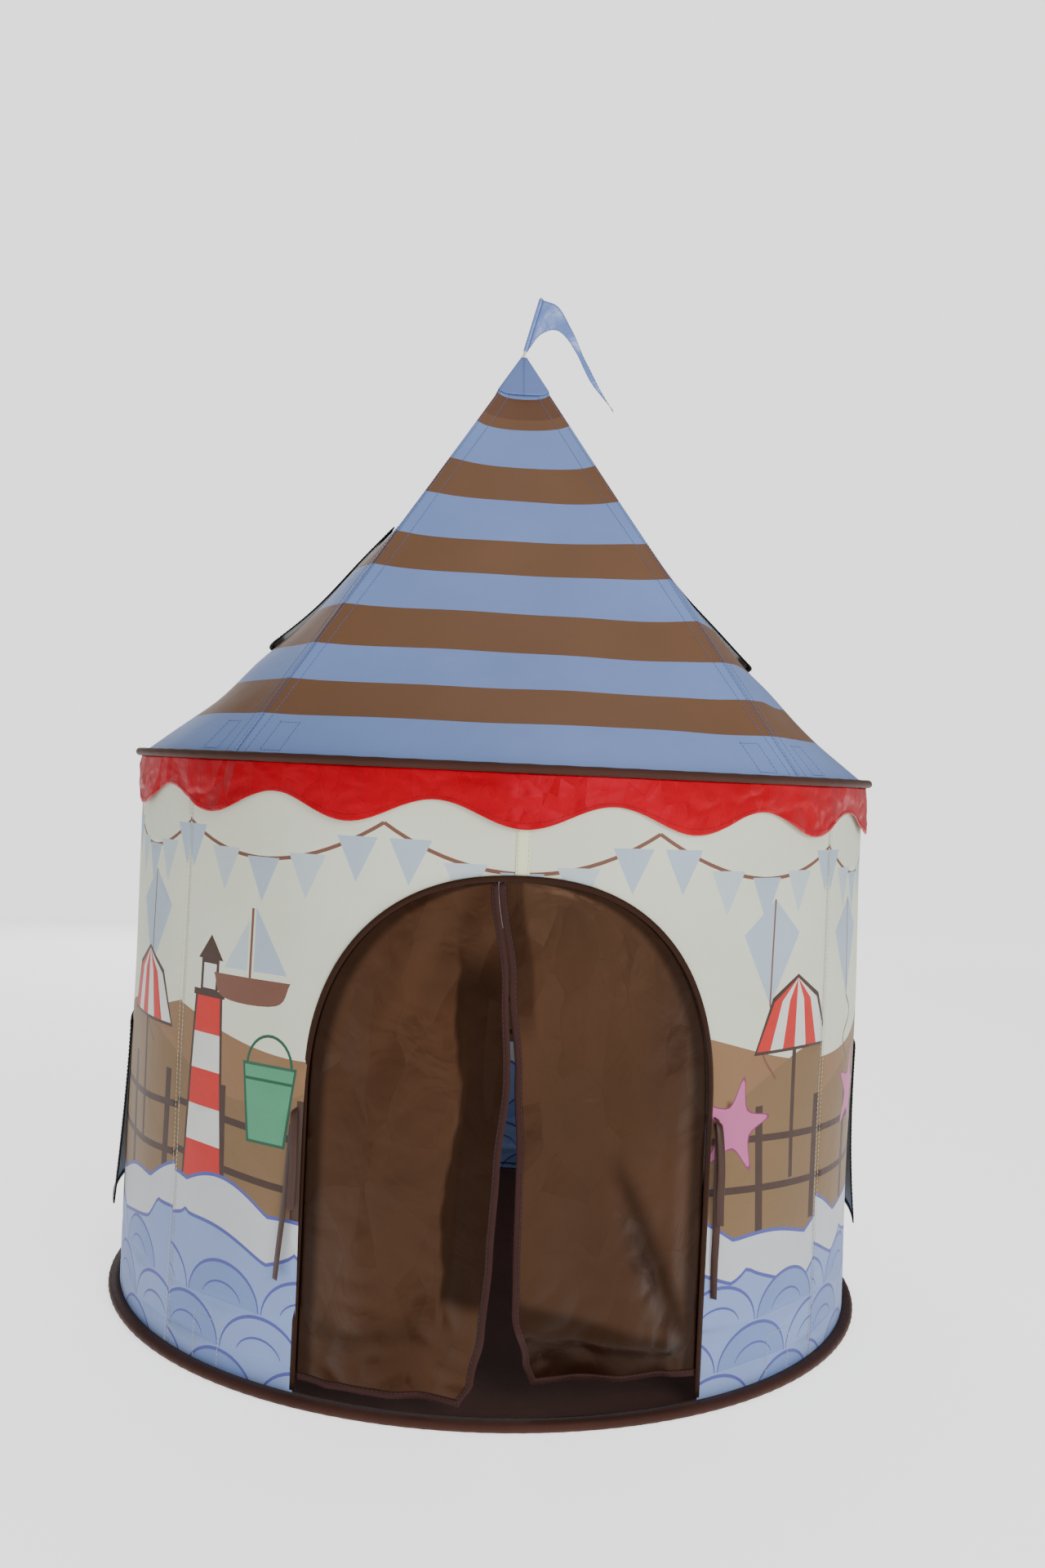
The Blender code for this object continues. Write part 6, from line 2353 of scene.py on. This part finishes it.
@dataclass
class Vents:
    """A net and a bound flap over the vent in each side of the roof."""

    roof: Roof
    flap_top: float = 0.452
    flap_foot: float = 0.752
    half_angle: float = math.radians(22)
    net_half_angle: float = math.radians(20)
    net_margin: float = 0.015
    stand_off: float = 0.0042
    corner_lift: float = 0.001
    first_lift: float = 0.0022
    binding: float = 0.0065
    thickness: float = 0.0022
    net_cell: float = 0.004
    net_depth: float = 0.0016
    steps: Flat = (0.014, 0.01)
    middle_run: float = 0.6

    def build(self) -> None:
        """Build both vents."""
        for side in SIDES:
            self.net(side)
            self.flap(side)

    def net(self, side: str) -> None:
        """The net behind the opening.

        Args:
            side: Left or right.
        """
        panel = ROOF_PANELS[side]
        low, high = self.roof.vent_top - self.net_margin, self.roof.vent_foot + self.net_margin
        reach = float(FORM.roof_reach(np.array(panel.middle), np.array(self.middle_run), panel))
        azimuths = spaced(
            [panel.middle - self.net_half_angle, panel.middle + self.net_half_angle],
            self.net_cell / reach)
        runs = spaced([low, high], self.net_cell / self.roof.slope)
        hang_net(
            "vent", side, (azimuths, runs), lambda a, t: FORM.roof(a, t, -self.net_depth, panel))

    def flap(self, side: str) -> None:
        """The striped flap, bound in black, that lies over the opening.

        Args:
            side: Left or right.
        """
        panel = ROOF_PANELS[side]

        def on_roof(azimuth: Array, run: Array, lift: Any) -> Array:
            """Points on the flap over the roof."""
            drop = (run - self.flap_top) / (self.flap_foot - self.flap_top)
            aside = (azimuth - panel.middle) / self.half_angle
            rise = self.first_lift + self.stand_off * drop ** 2 + self.corner_lift * aside ** 2
            return FORM.roof(azimuth, run, rise + lift, panel)

        reach = float(FORM.roof_reach(np.array(panel.middle), np.array(self.middle_run), panel))
        per_metre = (1 / reach, 1 / self.roof.slope)
        edge = self.binding * 0.5
        inner = self.half_angle - edge * per_metre[0]
        cloth = cloth_grid(
            "vent_flap_cloth_" + side, panel.middle + spaced([-inner, inner], 0.014),
            spaced(
                [self.flap_top + edge * per_metre[1], self.flap_foot - edge * per_metre[1]], 0.008),
            lambda a, t: on_roof(a, t, 0.0), self.roof.flat(panel), [ROOF_CLOTH, LINING], run=True)
        rim = framed_line(
            (panel.middle - self.half_angle, self.flap_top),
            (panel.middle + self.half_angle, self.flap_foot), self.steps, per_metre)
        hang_flap(
            "vent", side, cloth, rim, (self.binding, self.thickness), on_roof)


@dataclass
class Pennant:
    """The curved blue satin flag on its leaning pole."""

    lean: float = math.radians(14.5)
    pole_radius: float = 0.0022
    hoist_low: float = 0.007
    hoist: float = 0.080
    length: float = 0.150
    wave: float = 0.007
    upper: tuple[Flat, ...] = (
        (0.0, 0.0), (0.16, -0.06), (0.30, -0.28), (0.46, -0.60), (0.60, -0.86), (0.77, -1.10))
    lower: tuple[Flat, ...] = (
        (0.0, 0.0), (0.13, 0.18), (0.30, 0.22), (0.48, 0.02), (0.64, -0.28), (0.92, -0.57))

    def edge(self, table: Sequence[Flat], start: float, share: Array) -> Array:
        """Points along the upper or lower edge from hoist to tip.

        Args:
            table: The edge's points, as shares of the length.
            start: Where it starts up the pole.
            share: Shares of the way to the tip.

        Returns:
            The points.
        """
        row = np.array([(x, 0.0, z) for x, z in table])
        line = smooth_route(row, 101) * self.length
        lean = np.array((math.sin(self.lean), 0, math.cos(self.lean)))
        right = np.array((lean[2], 0, -lean[0]))
        places = np.stack(
            [np.interp(share * 100, np.arange(101), line[:, k]) for k in range(3)], axis=-1)
        return np.array((0, 0, FORM.apex_height)) + lean * start + right * 0.0027 + places

    def build(self) -> None:
        """Build the flag with its sleeve round the pole."""
        lean = np.array((math.sin(self.lean), 0, math.cos(self.lean)))
        right = np.array((lean[2], 0, -lean[0]))
        back = np.array((0.0, 1.0, 0.0))
        tip = np.array((0, 0, FORM.apex_height))

        def place(u: Array, w: Array) -> Array:
            """Points on the piece."""
            low = self.edge(self.lower, self.hoist_low, np.clip(u, 0, 1))
            high = self.edge(self.upper, self.hoist_low + self.hoist, np.clip(u, 0, 1))
            cloth = low + (high - low) * w[..., None]
            ripples = 0.0016 * ripple(cloth, 71, 0.035) * np.clip(u * 4, 0, 1)
            cloth[..., 1] += self.wave * np.sin(u * math.tau) * u + ripples
            turn = (math.tau - 0.5) * np.clip(-u, 0, 1)
            hoist = tip + lean * (self.hoist_low + self.hoist * w)[..., None]
            sleeve = hoist + (
                right * np.cos(turn)[..., None] + back * np.sin(turn)[..., None]) * 0.003
            return np.where((u <= 0)[..., None], sleeve, cloth)

        def flat(u: Array, w: Array) -> Array:
            """Places on the flat cloth."""
            ends = [
                self.edge(table, start, np.linspace(0, 1, 101))
                for table, start in (
                    (self.lower, self.hoist_low), (self.upper, self.hoist_low + self.hoist))]
            middle = np.linalg.norm(np.diff((ends[0] + ends[1]) / 2, axis=0), axis=1)
            length = np.interp(u, np.linspace(0, 1, 101), np.concatenate([[0], np.cumsum(middle)]))
            depth = np.interp(u, np.linspace(0, 1, 101), np.linalg.norm(ends[1] - ends[0], axis=1))
            return np.stack([np.where(u < 0, u * 0.016, length), (w - 0.5) * depth], axis=-1)

        stops = np.concatenate([-np.linspace(1, 0.06, 14), np.linspace(0.0, 0.965, 50)])
        cloth = cloth_grid("pennant_cloth", stops, np.linspace(0, 1, 24), place, flat, [FLAG_SATIN])
        along = np.linspace(0.0, 0.95, 120)
        for w in (0.03, 0.97):
            SEWING.add(
                "flag", place(along, np.full_like(along, w)) - np.array((0, THREAD_LIFT, 0)),
                BLUE_THREAD)
        stitches = SEWING.sew("pennant_hem_stitches", "flag", BLUE_THREAD)
        settle(cloth, "flag", ["flag"])
        settle(stitches, "flag")
        declare_sheet(cloth)


@dataclass
class PoleFrame:
    """The fibreglass poles and hoops, steel tubes and black fittings kept from the CAD model."""

    finishes: dict[str, Solid] = field(
        default_factory=lambda: {
            "wall_pole": FIBREGLASS, "roof_pole": FIBREGLASS, "flag_pole": FIBREGLASS,
            "eave_hoop_ferrule": STEEL, "base_hoop_ferrule": STEEL, "eave_hoop": FIBREGLASS,
            "base_hoop": FIBREGLASS, "pole_foot": PLASTIC, "corner_elbow": PLASTIC,
            "apex_hub": PLASTIC})

    def dress(self, nodes: dict[str, bpy.types.Object]) -> None:
        """Give every kept node its finish.

        Args:
            nodes: The CAD nodes by name.
        """
        for name, node in nodes.items():
            for start, finish in self.finishes.items():
                if name.startswith(start):
                    node.data.materials.clear()
                    node.data.materials.append(finish.material())
                    LOG.info("%s is finished as %s", name, finish.name)
                    break


@dataclass
class Studio:
    """The photograph's camera, a pale floor and soft light."""

    distance: float = 2.0845
    height: float = 0.7336
    pitch: float = -0.0097
    roll: float = 0.0453
    pan: float = 0.0126
    yaw: float = math.radians(-2.7)
    lens: float = 32.51
    sensor: float = 36.0
    seen_light: float = 1.9
    cast_light: float = 0.38
    lamps: tuple[tuple[str, tuple[float, float, float], float, float], ...] = (
        ("key_lamp", (1.4, -3.4, 1.7), 1.6, 86.0), ("fill_lamp", (-2.6, -2.6, 1.3), 1.8, 9.0),
        ("back_lamp", (-0.8, 3.6, 1.9), 2.4, 60.0), ("top_lamp", (0.4, 0.2, 3.8), 2.4, 22.0))
    glow_place: tuple[float, float, float] = (0, 0.1, 0.75)
    glow_power: float = 4.5
    glow_size: float = 0.2
    paper_half: float = 9.0
    paper_height: float = -0.0005
    paper_reach: Flat = (3.3, 4.9)
    paper_glow: Flat = (1.3, 1.54)

    def camera(self) -> None:
        """Stand the camera where the photograph was taken from."""
        data = bpy.data.cameras.new("photo_camera")
        data.sensor_fit = "VERTICAL"
        data.sensor_height = self.sensor
        data.lens = self.lens
        ahead = Vector((math.sin(self.pan), math.cos(self.pan), 0))
        aside = Vector((math.cos(self.pan), -math.sin(self.pan), 0))
        upright = Vector((0, 0, 1))
        forward = ahead * math.cos(self.pitch) + upright * math.sin(self.pitch)
        top = upright * math.cos(self.pitch) - ahead * math.sin(self.pitch)
        right = aside * math.cos(self.roll) + top * math.sin(self.roll)
        up = top * math.cos(self.roll) - aside * math.sin(self.roll)
        axes = Matrix((right, up, -forward)).transposed().to_4x4()
        stand = Matrix.Translation((0, -self.distance, self.height)) @ axes
        camera = bpy.data.objects.new("photo_camera", data)
        bpy.context.scene.collection.objects.link(camera)
        camera.matrix_world = Matrix.Rotation(self.yaw, 4, "Z") @ stand
        bpy.context.scene.camera = camera

    def light(self) -> None:
        """Soft light from all round, broad lamps, and a faint one for what thin cloth lets in."""
        world = bpy.data.worlds.new("studio")
        bpy.context.scene.world = world
        world.use_nodes = True
        tree = world.node_tree
        shown = add_node(
            tree, "ShaderNodeBackground",
            inputs={"Color": (1, 1, 1, 1), "Strength": self.seen_light})
        lit = add_node(
            tree, "ShaderNodeBackground",
            inputs={"Color": (1, 1, 1, 1), "Strength": self.cast_light})
        path = add_node(tree, "ShaderNodeLightPath")
        both = add_node(
            tree, "ShaderNodeMixShader",
            inputs={0: path.outputs["Is Camera Ray"], 1: lit.outputs[0], 2: shown.outputs[0]})
        tree.links.new(both.outputs[0], tree.nodes["World Output"].inputs["Surface"])
        for name, place, size, power in self.lamps:
            data = bpy.data.lights.new(name, "AREA")
            data.size = size
            data.energy = power
            lamp = bpy.data.objects.new(name, data)
            lamp.location = place
            lamp.rotation_euler = (
                Vector((0, 0, 0.6)) - Vector(place)).to_track_quat("-Z", "Y").to_euler()
            bpy.context.scene.collection.objects.link(lamp)
        glow = bpy.data.lights.new("cloth_glow", "POINT")
        glow.energy = self.glow_power
        glow.shadow_soft_size = self.glow_size
        inside = bpy.data.objects.new("cloth_glow", glow)
        inside.location = self.glow_place
        bpy.context.scene.collection.objects.link(inside)

    def floor(self) -> None:
        """Lay matt white paper that glows a little more far off, so that no horizon shows."""
        half, height = self.paper_half, self.paper_height
        mesh = bpy.data.meshes.new("studio_floor")
        mesh.from_pydata(
            [
                (-half, -half, height), (half, -half, height), (half, half, height),
                (-half, half, height)], [], [(0, 1, 2, 3)])
        material, tree, shader = new_material("studio_paper_white")
        shader.inputs["Base Color"].default_value = linear("#F4F4F4")
        shader.inputs["Roughness"].default_value = 0.9
        shader.inputs["Specular IOR Level"].default_value = 0.1
        shader.inputs["Emission Color"].default_value = (1, 1, 1, 1)
        spot = add_node(tree, "ShaderNodeNewGeometry")
        reach = add_node(
            tree, "ShaderNodeVectorMath", {"operation": "LENGTH"}, {0: spot.outputs["Position"]})
        (near, far), (near_glow, far_glow) = self.paper_reach, self.paper_glow
        glow = add_node(
            tree, "ShaderNodeMapRange",
            inputs={0: reach.outputs["Value"], 1: near, 2: far, 3: near_glow, 4: far_glow})
        tree.links.new(glow.outputs[0], shader.inputs["Emission Strength"])
        mesh.materials.append(material)
        link("studio_floor", mesh)


def main() -> None:
    """Build the tent's looks in order, from the camera to the flag."""
    logging.basicConfig(level=logging.INFO, format="%(message)s")
    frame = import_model()
    studio = Studio()
    studio.camera()
    studio.light()
    studio.floor()
    doorway = Doorway()
    doorway.build()
    walls = Walls(doorway)
    walls.build()
    roof = Roof()
    roof.build()
    Eave().build()
    Base().build()
    Windows(walls).build()
    Vents(roof).build()
    Pennant().build()
    PoleFrame().dress(frame["nodes"])
    for cloth in (THREAD, DARK_THREAD, BLUE_THREAD, RED_THREAD):
        stitches = SEWING.sew("tent_stitches_" + cloth.name.rsplit("_", 1)[1], "tent", cloth)
        settle(stitches, "tent")


if __name__ == "__main__":
    main()
